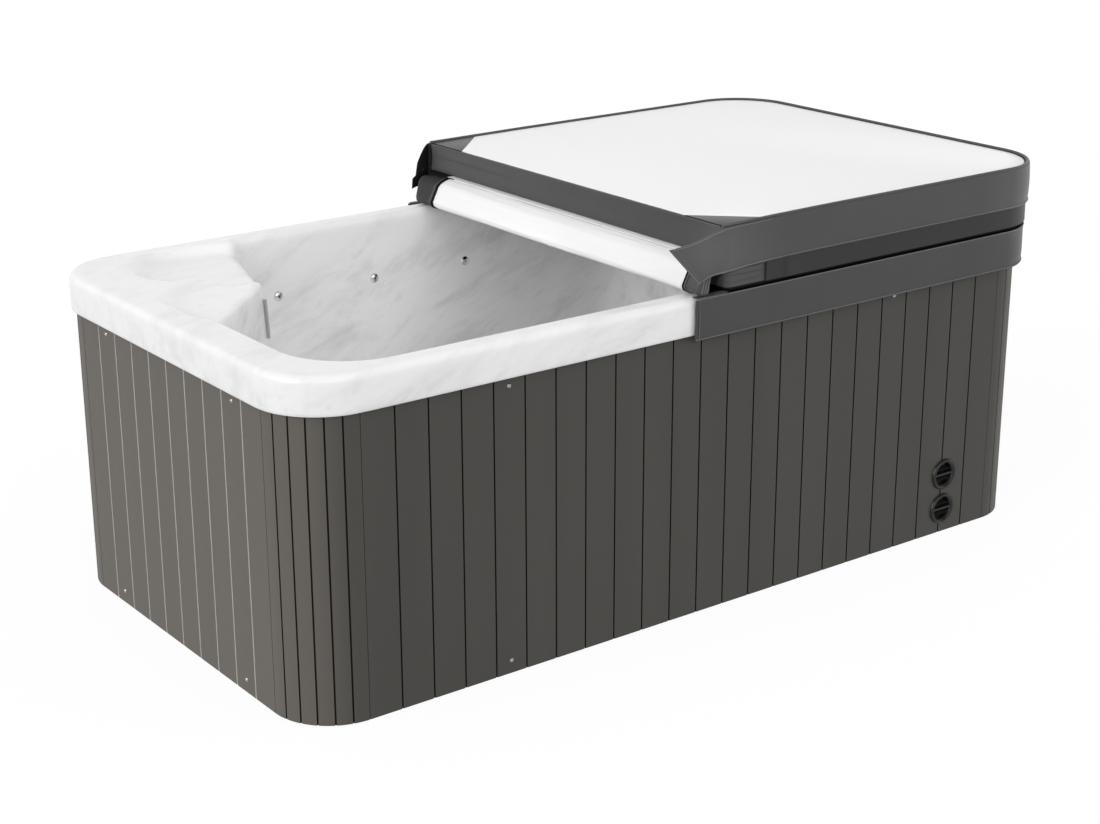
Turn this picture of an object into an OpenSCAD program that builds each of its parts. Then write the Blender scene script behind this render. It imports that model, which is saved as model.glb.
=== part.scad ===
/* [Tub] */
// Overall length of the moulded rim
tub_l = 2210; // [2000:5:2400]
// Overall width of the moulded rim
tub_w = 1159; // [1050:1:1300]
// Height of the rim's top face above the floor
tub_h = 780; // [740:5:860]
// Corner radius of the rim, seen from above
rim_r = 159; // [120:1:200]
// Height of the rim's outer face
rim_drop = 87; // [70:1:110]
// Round between the rim's top and its face
rim_fillet = 19; // [10:1:26]
// Wall of the moulded shell
shell_t = 7; // [5:0.5:10]

/* [Bathing well] */
// Flat deck along each long side
deck_side = 64; // [50:1:90]
// Flat deck at the low seat's end
deck_left = 109; // [90:1:150]
// Deck over the equipment bay
deck_bay = 505; // [460:5:600]
// Round between the deck and the wall of the well
edge_r = 15; // [10:1:20]
// Corner radius of the well, seen from above
well_r = 170; // [130:5:200]
// Height of the seats above the floor
seat_z = 360; // [320:5:400]
// Height of the footwell's floor
foot_z = 130; // [110:5:160]
// Length of the footwell
foot_l = 700; // [500:10:800]
// Length of the raised headrest deck on the far side
head_l = 341; // [280:5:380]
// Length of the nose between the two headrests
nose_l = 246; // [200:2:270]
// Distance of the nose from the centre line
nose_y = 165; // [120:5:200]
// Depth of the far headrest's trough
trough_far = 27; // [15:1:35]
// Depth of the near headrest's trough
trough_near = 15; // [8:1:20]
// Depth of the tray that the controls stand in
tray_d = 12; // [10:0.5:16]

/* [Cabinet] */
// Gap between the panels and the inside of the rim's lip
lip_gap = 6; // [4:1:10]
// Thickness of the cabinet panels
panel_t = 14; // [12:1:18]
// Boards in each long panel
boards_long = 23; // [15:1:30]
// Boards in each end panel
boards_short = 10; // [6:1:14]
// Narrow boards round each corner
boards_corner = 6; // [4:1:8]
// Width of the groove between two boards
groove_w = 3; // [2:0.5:5]
// Depth of the groove between two boards
groove_d = 2.5; // [1.5:0.5:4]
// Gap between neighbouring panels
panel_gap = 1.5; // [1:0.5:3]
// Panels start this high above the floor
panel_z = 2; // [1:0.5:6]
// Thickness of the floor pan
pan_t = 12; // [8:1:16]
// Section of the frame's timbers
timber = 45; // [38:1:50]
// Diameter of a panel screw's head
screw_head = 11; // [8:0.5:14]

/* [Vents] */
// Outer diameter of a vent's ring
vent_d = 82; // [70:1:90]
// Distance of the vents from the bay end of the long panel
vent_in = 156; // [130:2:200]
// Height of the lower vent
vent_z = 67; // [60:1:90]
// Distance between the two vents
vent_pitch = 94; // [92:1:110]

/* [Water fittings] */
// Distance between two wall jets
jet_pitch = 286; // [240:2:300]
// Height of the wall jets
jet_z = 618; // [560:2:660]
// Diameter of a wall jet's face
jet_d = 24; // [18:1:32]
// Diameter of a back jet's escutcheon
back_jet_d = 84; // [70:1:100]
// Diameter of a suction cover
suction_d = 100; // [80:2:120]
// Diameter of the underwater lamp
lamp_d = 88; // [70:2:100]
// Diameter of the drain in the footwell's floor
drain_d = 62; // [50:1:80]

/* [Controls and filter] */
// Diameter of the filter's lid
lid_d = 180; // [150:2:200]
// Depth of the filter's well
filter_h = 330; // [250:10:360]
// Diameter of the air and diverter knobs
knob_d = 54; // [44:1:64]
// Length of the keypad
keypad_l = 170; // [150:2:200]
// Width of the keypad
keypad_w = 84; // [70:2:100]
// Diameter of a keypad button
button_d = 17; // [12:1:20]
// Travel of a keypad button
button_travel = 1.2; // [0.8:0.1:1.6]

/* [Equipment] */
// Diameter of the pump's motor
motor_d = 150; // [120:5:170]
// Length of the pump's motor
motor_l = 230; // [180:5:250]
// Diameter of the water pipes
pipe_d = 48; // [40:1:60]
// Diameter of the blower
blower_d = 160; // [130:5:180]

/* [Cover] */
// Thickness of each padded half
cover_t = 78; // [60:1:90]
// Distance of the folded end of the lower half from the middle
butt_x = 4; // [0:1:10]
// Distance of the fold's axis from the middle
fold_x = 22; // [16:1:40]
// Corner radius of the cover's outer corners
cover_r = 168; // [160:1:200]
// Depth of the skirts
skirt_h = 102; // [80:1:110]
// Thickness of a skirt, lining and hem together
skirt_t = 3; // [2:0.5:5]
// Depth of the heat seal roll
seal_w = 68; // [50:1:80]
// Length of each dark end of the heat seal roll
seal_cap = 54; // [40:1:70]
// Crown of the padded faces
crown = 3; // [1:0.5:6]
// Side of the triangular patches at the fold's corners
patch_leg = 118; // [80:2:150]

/* [Hidden] */

$fn = 48;
// Clearance between pieces that seat on each other
seat = 0.3;
half_l = tub_l / 2;
half_w = tub_w / 2;

// Stations round the well: along a long side, round a corner and along the bay's end
SIDE_N = 9;
CORNER_N = 6;
BAY_N = 6;

well_x0 = -half_l + deck_left;
well_x1 = half_l - deck_bay;
well_y = half_w - deck_side;
nose_x = well_x0 + nose_l;
head_x = well_x0 + head_l;
foot_x1 = well_x1 - 55;
foot_x0 = foot_x1 - foot_l;
bay_r = well_r - 50;
// The low recess of the near seat ends here, short of the centre line
recess_y = -60;
tray_x1 = half_l - 65;
tray_y = half_w - 38;
border_x0 = -half_l + 80;
border_w = 5;
tray_z = tub_h - tray_d;

// Plan of the cabinet
cab_x = half_l - shell_t - lip_gap;
cab_y = half_w - shell_t - lip_gap;
cab_r = rim_r - shell_t - lip_gap;
panel_top = tub_h - 38;
rail_x = cab_x - panel_t - seat;
rail_y = cab_y - panel_t - seat;
plank_t = 19;
plank_z = tub_h - rim_drop - 41;

function mix(a, b, t) = a + (b - a) * t;
function clamp01(t) = max(0, min(1, t));
function steps(a, b, n) = [for (i = [0:n - 1]) mix(a, b, i / n)];
function arc_pts(c, r, a0, a1, n) = [for (a = steps(a0, a1, n)) c + r * [cos(a), sin(a)]];
function with_z(o, z) = [for (p = o) [p[0], p[1], z]];

// Loft through rings of equal count, closed by a fan at each end
module loft(rings, c0, c1) {
    n = len(rings[0]);
    m = len(rings);
    pts = concat([for (r = rings) each r], [c0, c1]);
    sides = [for (j = [0:m - 2]) for (i = [0:n - 1]) let (k = (i + 1) % n)
        each [[j * n + i, (j + 1) * n + i, (j + 1) * n + k], [j * n + i, (j + 1) * n + k, j * n + k]]];
    start = [for (i = [0:n - 1]) [m * n, i, (i + 1) % n]];
    finish = [for (i = [0:n - 1]) [m * n + 1, (m - 1) * n + (i + 1) % n, (m - 1) * n + i]];
    polyhedron(pts, concat(start, sides, finish), convexity = 8);
}

// Rounded rectangle with exact arcs, for plates and panels
module round_plate(x, y, r) {
    union() {
        square([2 * x, 2 * (y - r)], center = true);
        square([2 * (x - r), 2 * y], center = true);
        for (sx = [-1, 1]) for (sy = [-1, 1]) translate([sx * (x - r), sy * (y - r)]) circle(r, $fn = 96);
    }
}

module bar(p0, p1) {
    translate(p0) cube(p1 - p0);
}

module tube(r1, r0, h) {
    difference() {
        cylinder(r = r1, h = h);
        translate([0, 0, -1]) cylinder(r = r0, h = h + 2);
    }
}

// Run of pipe through points, with ball elbows
module pipe_run(pts, d) {
    for (i = [0:len(pts) - 2]) {
        a = pts[i];
        b = pts[i + 1];
        v = b - a;
        translate(a) rotate([0, acos(v[2] / norm(v)), atan2(v[1], v[0])]) cylinder(d = d, h = norm(v));
    }
    for (i = [1:1:len(pts) - 2]) translate(pts[i]) sphere(d = d * 1.08);
}

// The moulded shell: outlines of the well, from near side round the seats' end to the bay's end

// Left edge of an outline at y: near recess, sloping up to the nose, then the far headrest
function seats_line(y, xn, xm, xf, yf) = y < recess_y ? xn
    : y < nose_y ? mix(xn, xm, (y - recess_y) / (nose_y - recess_y))
    : mix(xm, xf, (y - nose_y) / (yf - nose_y));
// The same line with its bends rounded
bend = 24;
function seats_x(y, xn, xm, xf, yf) = (seats_line(y - bend, xn, xm, xf, yf) + seats_line(y, xn, xm, xf, yf)
    + seats_line(min(y + bend, yf), xn, xm, xf, yf)) / 3;
function seats_ys(y0, y1) = concat(steps(y0, recess_y - bend, 4), steps(recess_y - bend, recess_y + bend, 2),
    steps(recess_y + bend, nose_y - bend, 3), steps(nose_y - bend, nose_y + bend, 2), steps(nose_y + bend, y1, 4));

function well_outline(xn, xm, xf, xr, y, r1, r2, r3) = concat(
    [for (x = steps(xr - r3, xn + r1, SIDE_N)) [x, -y]],
    arc_pts([xn + r1, r1 - y], r1, 270, 180, CORNER_N),
    [for (v = seats_ys(r1 - y, y - r2)) [seats_x(v, xn, xm, xf, y - r2), v]],
    arc_pts([xf + r2, y - r2], r2, 180, 90, CORNER_N),
    [for (x = steps(xf + r2, xr - r3, SIDE_N)) [x, y]],
    arc_pts([xr - r3, y - r3], r3, 90, 0, CORNER_N),
    [for (v = steps(y - r3, r3 - y, BAY_N)) [xr, v]],
    arc_pts([xr - r3, r3 - y], r3, 0, -90, CORNER_N));

function plain_outline(x, y, r) = well_outline(-x, -x, -x, x, y, r, r, r);

// Flat-bottomed trough profile across a headrest, 0 at its sides and 1 in its middle
function trough(y, y0, y1) = let (t = (2 * y - y0 - y1) / (y1 - y0)) abs(t) < 1 ? 1 - pow(t, 4) : 0;
head_y = well_y - 15;
function dip(p) = p[0] > head_x + 80 ? 0
    : trough_far * trough(p[1], nose_y + 15, head_y + 8) + trough_near * trough(p[1], recess_y, nose_y - 5);
function tray(p) = tray_d * clamp01((p[0] - well_x1 + bay_r) / bay_r) * clamp01((well_y - abs(p[1])) / 40);

// Deck rings follow the troughs by share k and the control tray by share s
function deck_ring(o, z, k, s) = [for (p = o) [p[0], p[1], z - k * dip(p) - s * tray(p)]];

// Outline of the wall at an outward offset d, for the opening's edge
function edge_outline(d) = well_outline(well_x0 - d, nose_x - d, head_x - d, well_x1 + d,
    well_y + d, well_r + d, 50 + d, bay_r + d);

function wall_outline(d, k) = well_outline(
    mix(well_x0 + 56, well_x0, k) - d, mix(nose_x + 12, nose_x, k) - d, mix(head_x + 55, head_x, k) - d,
    mix(well_x1 - 15, well_x1, k) + d, mix(well_y - 15, well_y, k) + d,
    mix(well_r - 10, well_r, k) + d, mix(62, 50, k) + d, bay_r + d);

function seat_outline(d, i) = well_outline(
    well_x0 + 90 + i - d, nose_x + 20 + i - d, head_x + 85 + i - d, well_x1 - 25 - 0.25 * i + d,
    well_y - 30 - 0.25 * i + d, well_r - 20 + d, 74 + d, bay_r - 5 + d);

function foot_outline(d, i) = well_outline(
    foot_x0 + i - d, foot_x0 + i - d, foot_x0 + i - d, foot_x1 - 0.4 * i + d,
    well_y - 60 - 0.4 * i + d, 110 + d, 110 + d, 105 + d);

// Border of the troughs and the control tray, at an inward offset d
function border_outline(d) = well_outline(border_x0 + d, border_x0 + d, border_x0 + d, tray_x1 - d,
    tray_y - d, well_r + 14 - d, 150 - d, 100 - d);

// Outline of the deck from the opening's edge, k = 0, to the border's foot, k = 1, grown by d
function deck_outline(k, d) = well_outline(
    mix(well_x0 - edge_r, border_x0 + border_w, k) - d, mix(nose_x - edge_r, border_x0 + border_w, k) - d,
    mix(head_x - edge_r, border_x0 + border_w, k) - d, mix(well_x1 + edge_r, tray_x1 - border_w, k) + d,
    mix(well_y + edge_r, tray_y - border_w, k) + d, mix(well_r, well_r + 8, k) + d, mix(60, 144, k) + d,
    mix(bay_r, 94, k) + d);

// Outline of the rim at an inward offset d
function rim_outline(d) = plain_outline(half_l - d, half_w - d, rim_r - d);

module shell_body() {
    zt = tub_h;
    t = shell_t;
    f = rim_fillet;
    loft(concat([
        with_z(foot_outline(0, 42), foot_z),
        with_z(foot_outline(0, 12), foot_z + 12),
        with_z(foot_outline(0, 4), foot_z + 45),
        with_z(foot_outline(0, -10), seat_z - 38),
        with_z(foot_outline(0, -22), seat_z - 10),
        with_z(foot_outline(0, -48), seat_z),
        with_z(seat_outline(0, 42), seat_z + 14),
        with_z(seat_outline(0, 10), seat_z + 28),
        with_z(seat_outline(0, 0), seat_z + 64),
        with_z(wall_outline(0, 0), seat_z + 150),
        deck_ring(wall_outline(0, 1), zt - edge_r, 1, 1),
        deck_ring(edge_outline(edge_r * 0.3), zt - edge_r * 0.3, 1, 1),
        deck_ring(deck_outline(0, 0), zt, 1, 1),
        deck_ring(deck_outline(0.5, 0), zt, 0.72, 1),
        deck_ring(deck_outline(1, 0), zt, 0.3, 1),
        with_z(border_outline(0), zt)
    ], [for (a = [0:30:90]) with_z(rim_outline(f - f * sin(a)), zt - f + f * cos(a))], [
        with_z(rim_outline(0), zt - rim_drop),
        with_z(rim_outline(t), zt - rim_drop),
        with_z(rim_outline(t), zt - t - f / 2),
        with_z(rim_outline(t + f / 2), zt - t),
        with_z(border_outline(-t), zt - t),
        deck_ring(deck_outline(1, t), zt - t, 0.3, 1),
        deck_ring(deck_outline(0.5, t), zt - t, 0.72, 1),
        deck_ring(edge_outline(edge_r + 2), zt - t, 1, 1),
        deck_ring(wall_outline(t, 1), zt - edge_r, 1, 1),
        with_z(wall_outline(t, 0), seat_z + 150),
        with_z(seat_outline(t, 0), seat_z + 62),
        with_z(seat_outline(t, 12), seat_z + 22),
        with_z(seat_outline(t, 42), seat_z + seat_rise - t),
        with_z(foot_outline(t, -seat_edge), seat_z - t),
        with_z(foot_outline(t, -14), seat_z - 40),
        with_z(foot_outline(t, 4), foot_z + 40),
        with_z(foot_outline(t, 14), foot_z + 4),
        with_z(foot_outline(0, 42), foot_z - t)
    ]), [(foot_x0 + foot_x1) / 2, 0, foot_z], [(foot_x0 + foot_x1) / 2, 0, foot_z - t]);
}

// Places of the fittings that pass through the shell
jet_xs = [for (i = [-2:1]) jet_pitch * i + 48];
wall_z0 = seat_z + 150;
wall_h = tub_h - edge_r - wall_z0;
side_tilt = atan(15 / wall_h);
back_tilt = atan(56 / wall_h);
foot_tilt = atan(5.6 / (seat_z - foot_z - 83));
jet_bore = 14;
back_bore = back_jet_d - 20;
back_ys = [-280, -150];
back_z = wall_z0 + 65;
suction_bore = 56;
suction_y = 200;
suction_z = foot_z + 95;
drain_bore = drain_d - 24;
drain_x = foot_x1 - 110;
lamp_bore = lamp_d - 24;
lamp_z = wall_z0 + 90;
knob_x = well_x1 + 105;
valve_bore = 26;
air_y = -330;
diverter_y = -220;
lid_x = well_x1 + 235;
lid_y = 290;
filter_r = lid_d / 2 - 12;
cut_w = keypad_w - 20;
cut_l = keypad_l - 20;

// Each place_ module puts its children on the wall, +z pointing out of the well through the shell
module place_side(x) {
    y = mix(well_y - 15, well_y, (jet_z - wall_z0) / wall_h);
    translate([x, y, jet_z]) rotate([-90 - side_tilt, 0, 0]) children();
}
module place_back(y) {
    x = mix(well_x0 + 56, well_x0, (back_z - wall_z0) / wall_h);
    translate([x, y, back_z]) rotate([0, -90 - back_tilt, 0]) children();
}
module place_suction(y) {
    x = mix(foot_x1 - 1.6, foot_x1 + 4, (suction_z - foot_z - 45) / (seat_z - foot_z - 83));
    translate([x, y, suction_z]) rotate([0, 90 + foot_tilt, 0]) children();
}
module place_lamp() {
    x = mix(well_x1 - 15, well_x1, (lamp_z - wall_z0) / wall_h);
    translate([x, 0, lamp_z]) rotate([0, 90 + side_tilt, 0]) children();
}
module bore(d) {
    translate([0, 0, -30]) cylinder(d = d, h = 60);
}

module tub_shell() {
    color("white") difference() {
        shell_body();
        for (x = jet_xs) for (s = [0, 1]) mirror([0, s, 0]) place_side(x) bore(jet_bore);
        for (y = back_ys) place_back(y) bore(back_bore);
        for (s = [-1, 1]) place_suction(s * suction_y) bore(suction_bore);
        place_lamp() bore(lamp_bore);
        translate([drain_x, 0, foot_z]) bore(drain_bore);
        for (y = [air_y, diverter_y]) translate([knob_x, y, tray_z]) bore(valve_bore);
        translate([lid_x, lid_y, tray_z]) cylinder(r = filter_r, h = 60, center = true);
        translate([knob_x, 0, tray_z]) cube([cut_w, cut_l, 60], center = true);
    }
}

// Cabinet
long_end = cab_x - cab_r;
short_end = cab_y - cab_r;
vent_x = long_end - vent_in;
screw_x = long_end - 370;
screw_y = short_end - 123.5;
screw_low = pan_t + 21;
screw_high = plank_z + 21;
screw_d = 4.4;
front_screws = [[-screw_x, screw_high], [screw_x, screw_high], [-screw_x, screw_low]];
back_screws = concat(front_screws, [[screw_x, screw_low]]);
end_screws = [for (y = [-screw_y, screw_y]) for (z = [screw_low, screw_high]) [y, z]];

// Groove between two boards, cut into a face at y = 0
module groove() {
    polygon([[-groove_w / 2 - 0.6, 0.5], [-groove_w / 2, -groove_d], [groove_w / 2, -groove_d],
        [groove_w / 2 + 0.6, 0.5]]);
}

// Flat panel of n boards, its face towards +y at the origin, with clearance holes at the screws
module board_panel(half, n, screws, vents = false) {
    pitch = 2 * half / n;
    difference() {
        translate([0, 0, panel_z]) linear_extrude(panel_top - panel_z) difference() {
            translate([-half + panel_gap / 2, -panel_t]) square([2 * half - panel_gap, panel_t]);
            for (i = [1:n - 1]) translate([-half + pitch * i, 0]) groove();
        }
        for (p = screws) translate([p[0], 1, p[1]]) rotate([90, 0, 0]) cylinder(d = screw_d + 0.8, h = panel_t + 2);
        if (vents) for (i = [0, 1]) translate([-vent_x, 1, vent_z + vent_pitch * i])
            rotate([90, 0, 0]) cylinder(d = vent_d - 16, h = panel_t + 2);
    }
}

module corner_panel() {
    linear_extrude(panel_top - panel_z) difference() {
        intersection() {
            difference() {
                circle(cab_r, $fn = 96);
                circle(cab_r - panel_t, $fn = 96);
            }
            translate([panel_gap / 2, panel_gap / 2]) square(cab_r);
        }
        for (i = [1:boards_corner - 1]) rotate(90 * i / boards_corner - 90) translate([0, cab_r - 0.05]) groove();
    }
}

module place_corner(sx, sy) {
    mirror([sx < 0 ? 1 : 0, 0, 0]) mirror([0, sy < 0 ? 1 : 0, 0]) translate([long_end, short_end, panel_z]) children();
}

cab = "#6b675e";
module front_panel() {
    color(cab) rotate([0, 0, 180]) translate([0, cab_y, 0])
        board_panel(long_end, boards_long, [for (p = front_screws) [-p[0], p[1]]], true);
}
module back_panel() {
    color(cab) translate([0, cab_y, 0]) board_panel(long_end, boards_long, back_screws);
}
module low_end_panel() {
    color(cab) rotate([0, 0, 90]) translate([0, cab_x, 0]) board_panel(short_end, boards_short, end_screws);
}
module bay_end_panel() {
    color(cab) rotate([0, 0, -90]) translate([0, cab_x, 0]) board_panel(short_end, boards_short, end_screws);
}
module front_low_corner() { color(cab) place_corner(-1, -1) corner_panel(); }
module back_low_corner() { color(cab) place_corner(-1, 1) corner_panel(); }
module front_bay_corner() { color(cab) place_corner(1, -1) corner_panel(); }
module back_bay_corner() { color(cab) place_corner(1, 1) corner_panel(); }

// Dome-headed screw, its head's underside at the origin, shank along -y
module screw() {
    head_r = screw_head / 2;
    rotate([90, 0, 0]) cylinder(d = screw_d, h = panel_t + 17);
    rotate([-90, 0, 0]) intersection() {
        translate([0, 0, -head_r * 0.6]) sphere(head_r * 1.17);
        cylinder(r = head_r, h = head_r);
    }
}

module all_screws(d) {
    for (p = front_screws) translate([p[0], -cab_y - d, p[1]]) rotate([0, 0, 180]) children();
    for (p = back_screws) translate([p[0], cab_y + d, p[1]]) children();
    for (p = end_screws) {
        translate([-cab_x - d, p[0], p[1]]) rotate([0, 0, 90]) children();
        translate([cab_x + d, p[0], p[1]]) rotate([0, 0, -90]) children();
    }
}

module panel_screws() {
    color("silver") all_screws(0.1) screw();
}

module screw_pilots() {
    all_screws(1) rotate([90, 0, 0]) cylinder(d = screw_d + 0.4, h = panel_t + 34);
}

// Ring of timbers round the cabinet: t thick, from z0 to z1, corner braces up to zb
module timber_ring(t, z0, z1, zb) {
    difference() {
        union() {
            for (s = [0, 1]) mirror([0, s, 0]) bar([-long_end, rail_y - t, z0], [long_end, rail_y, z1]);
            for (s = [0, 1]) mirror([s, 0, 0]) bar([rail_x - t, -short_end, z0], [rail_x, short_end, z1]);
            for (sx = [0, 1]) for (sy = [0, 1]) mirror([sx, 0, 0]) mirror([0, sy, 0]) translate([0, 0, z0])
                linear_extrude(zb - z0) polygon([[long_end + seat, rail_y], [long_end + seat, rail_y - t],
                    [rail_x - t, short_end + seat], [rail_x, short_end + seat]]);
        }
        screw_pilots();
    }
}

module base_pan() {
    color("#2b2b2b") difference() {
        linear_extrude(pan_t) round_plate(rail_x, rail_y, cab_r - panel_t - seat);
        translate([drain_x, 0, -1]) cylinder(d = drain_d, h = pan_t + 2);
    }
}

module lower_frame() {
    color("burlywood") timber_ring(timber, pan_t + seat, pan_t + timber, pan_t + timber);
}

module upper_frame() {
    color("burlywood") timber_ring(plank_t, plank_z, tub_h - shell_t - seat, plank_z + 80);
}

// Posts in each long side and in each end: the outer ones this far in from the panel's end, the inner
// ones this far beside the centre lines of two jets
post_in = 76;
post_beside = 52;
post_end = long_end - post_in;
post_xs = [-post_end, jet_xs[1] - post_beside, jet_xs[3] - post_beside, post_end];
post_ys = [200 - short_end, short_end - 200];
post_t = 28;
module frame_posts() {
    z0 = pan_t + timber + seat;
    z1 = plank_z - seat;
    color("burlywood") for (s = [0, 1]) {
        for (x = post_xs) mirror([0, s, 0])
            bar([x - timber / 2, rail_y - post_t, z0], [x + timber / 2, rail_y, z1]);
        for (y = post_ys) mirror([s, 0, 0])
            bar([rail_x - post_t, y - timber / 2, z0], [rail_x, y + timber / 2, z1]);
    }
}

// The seats' underside rises by this much on its way from the footwell's edge to the seat back's foot
seat_rise = 14;
seat_edge = 46;
seat_foot = 132;
function seat_under(x) = let (x1 = foot_x0 - seat_edge - shell_t, x0 = well_x0 + seat_foot - shell_t)
    seat_z - shell_t + seat_rise * (x1 - x) / (x1 - x0);
// Bearers under the footwell and two trestles under the seats, each with its number of windows
module shell_cradle() {
    foot_top = foot_z - shell_t - seat;
    z0 = pan_t + seat;
    color("burlywood") {
        for (x = [foot_x0 + 130, foot_x0 + 340, foot_x1 - 60])
            bar([x - timber / 2, -300, z0], [x + timber / 2, 300, foot_top]);
        for (t = [[foot_x0 - 100, -380, 380, 3], [well_x0 + 290, -400, 60, 2]]) {
            top = seat_under(t[0]) - 0.4;
            pitch = (t[2] - t[1] - timber) / t[3];
            difference() {
                bar([t[0] - timber, t[1], z0], [t[0], t[2], top]);
                for (i = [0:t[3] - 1]) translate([t[0] - timber - 1, t[1] + timber + pitch * i, z0 + timber])
                    cube([timber + 2, pitch - timber, top - z0 - 2 * timber]);
            }
        }
    }
}

// Round vent: raised ring, dished face and three louvres, spigot through the panel
module vent() {
    r = vent_d / 2;
    spigot_r = r - 8.5;
    rotate_extrude($fn = 96) polygon([[spigot_r - 3.5, -panel_t + 1], [spigot_r, -panel_t + 1], [spigot_r, 0.2],
        [r - 1, 0.2], [r, 1.5], [r - 1.5, 5], [r - 4, 7], [r - 7, 7], [r - 9.5, 4.5], [spigot_r - 3.5, 1]]);
    intersection() {
        union() {
            translate([-r, -2.5, -9]) cube([2 * r, 5, 12]);
            for (s = [-1, 1]) translate([0, s * 13, -5]) rotate([35, 0, 0]) cube([2 * r, 3, 12], center = true);
            translate([-r, -r, -panel_t + 1]) cube([2 * r, 2 * r, 2]);
        }
        translate([0, 0, -panel_t + 1]) cylinder(r = spigot_r - 1, h = 30, $fn = 96);
    }
}

module upper_vent() {
    color("#1b1b1b") translate([vent_x, -cab_y, vent_z + vent_pitch]) rotate([90, 0, 0]) vent();
}
module lower_vent() {
    color("#1b1b1b") translate([vent_x, -cab_y, vent_z]) rotate([90, 0, 0]) vent();
}

// Water fittings
nose_lamp_z0 = tub_h - 148;
nose_lamp_l = 95;
// The nose on the wall at height share k
function nose_at(k) = seats_x(nose_y, mix(well_x0 + 56, well_x0, k), mix(nose_x + 12, nose_x, k),
    mix(head_x + 55, head_x, k), mix(well_y - 77, well_y - 50, k));
module nose_lamp() {
    r = 4;
    out = r + seat;
    color("#b8bcc0") pipe_run([for (z = [nose_lamp_z0, nose_lamp_z0 + nose_lamp_l])
        [nose_at((z - wall_z0) / wall_h) + out * 0.843, nose_y - out * 0.537, z]], 2 * r);
}

module wall_jets() {
    color("silver") for (x = jet_xs) for (s = [0, 1]) mirror([0, s, 0]) place_side(x) difference() {
        union() {
            translate([0, 0, -seat]) mirror([0, 0, 1]) rotate_extrude() polygon([[0, 0], [jet_d / 2, 0],
                [jet_d / 2, 1.2], [jet_d / 2 - 2, 3], [jet_d / 4, 4.6], [0, 5]]);
            translate([0, 0, -1]) cylinder(d = jet_bore - 0.5, h = shell_t + 15);
        }
        translate([0, 0, -10]) cylinder(d = 5, h = shell_t + 30);
    }
}

back_face_d = back_jet_d - 30;
back_face_t = 9;
module back_jet_bodies() {
    color("silver") for (y = back_ys) place_back(y) difference() {
        union() {
            translate([0, 0, -seat]) mirror([0, 0, 1]) rotate_extrude() polygon([[0, 0], [back_jet_d / 2, 0],
                [back_jet_d / 2, 1.5], [back_jet_d / 2 - 4, 5], [0, 5]]);
            translate([0, 0, -1]) cylinder(d = back_bore - 0.6, h = 40);
        }
        translate([0, 0, -20]) cylinder(d = back_face_d + 0.1, h = 20 + back_face_t - 4);
        translate([0, 0, 0]) cylinder(d = back_face_d - 8, h = 34);
    }
}

// Turning face of a back jet, its nozzle off centre
module back_jet_face(i) {
    color("silver") place_back(back_ys[i]) difference() {
        translate([0, 0, -4.5]) cylinder(d = back_face_d, h = back_face_t);
        translate([9, 0, -10]) cylinder(d = 18, h = 30);
        for (a = [90:36:270]) rotate(a) translate([back_face_d * 0.36, 0, -10]) cylinder(d = 5, h = 8);
    }
}
module back_jet_face_1() { back_jet_face(0); }
module back_jet_face_2() { back_jet_face(1); }

module suction_covers() {
    color("#e6e6e6") for (s = [-1, 1]) place_suction(s * suction_y) difference() {
        union() {
            translate([0, 0, -seat]) mirror([0, 0, 1]) rotate_extrude() polygon([[0, 0], [suction_d / 2, 0],
                [suction_d / 2, 4], [suction_d / 2 - 5, 9], [suction_d / 4, 12], [0, 13]]);
            translate([0, 0, -1]) cylinder(d = suction_bore - 0.6, h = 41);
        }
        translate([0, 0, -5]) cylinder(d = suction_bore - 8, h = 60);
        for (a = [0:30:330]) rotate(a) translate([12, -2, -20]) cube([suction_d / 2 - 22, 4, 20]);
    }
}

module floor_drain() {
    color("#e6e6e6") translate([drain_x, 0, foot_z + seat]) difference() {
        union() {
            cylinder(d = drain_d, h = 3);
            cylinder(d = drain_d - 10, h = 5);
            translate([0, 0, -52]) cylinder(d = drain_bore - 0.6, h = 53);
        }
        translate([0, 0, -60]) cylinder(d = drain_bore - 8, h = 61);
        for (a = [0:45:315]) rotate(a) translate([6, -1.5, -1]) cube([drain_d / 2 - 16, 3, 10]);
    }
}

lens_d = lamp_d - 18;
module lamp_housing() {
    color("#e6e6e6") place_lamp() difference() {
        union() {
            translate([0, 0, -seat - 7]) cylinder(d = lamp_d, h = 7);
            translate([0, 0, -1]) cylinder(d = lamp_bore - 0.6, h = 48);
        }
        translate([0, 0, -20]) cylinder(d = lens_d + 0.6, h = 16);
        translate([0, 0, -5]) cylinder(d = lamp_bore - 12, h = 44);
    }
}
module lamp_lens() {
    color("lightcyan") place_lamp() translate([0, 0, -4 - seat]) mirror([0, 0, 1]) rotate_extrude()
        polygon([[0, 0], [lens_d / 2, 0], [lens_d / 2, 3], [lens_d / 3, 5.2], [lens_d / 6, 6.4], [0, 6.8]]);
}

// Controls in the tray
bezel_t = 6;
button_ys = [for (i = [0:3]) (i - 1.5) * (keypad_l - 30) / 4];
button_fit = 0.2;
button_h = 5;
button_z = tray_z + seat + bezel_t + button_travel + 0.4 - button_h;
module keypad_bezel() {
    color("#22262a") translate([knob_x, 0, tray_z + seat]) difference() {
        union() {
            linear_extrude(bezel_t) round_plate(keypad_w / 2, keypad_l / 2, 14);
            translate([-cut_w / 2 + 1, -cut_l / 2 + 1, -30]) cube([cut_w - 2, cut_l - 2, 31]);
        }
        for (y = button_ys) translate([0, y, bezel_t - button_h - 0.4]) cylinder(d = button_d + 2 * button_fit, h = 20);
        translate([keypad_w / 2 - 26, -keypad_l / 2 + 22, bezel_t - 1]) cube([16, keypad_l - 44, 5]);
    }
}
module keypad_button(i) {
    color("#9aa3ab") translate([knob_x, button_ys[i], button_z]) rotate_extrude() polygon([[0, 0],
        [button_d / 2, 0], [button_d / 2, button_h - 0.8], [button_d / 2 - 0.8, button_h], [0, button_h - 0.5]]);
}
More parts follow.
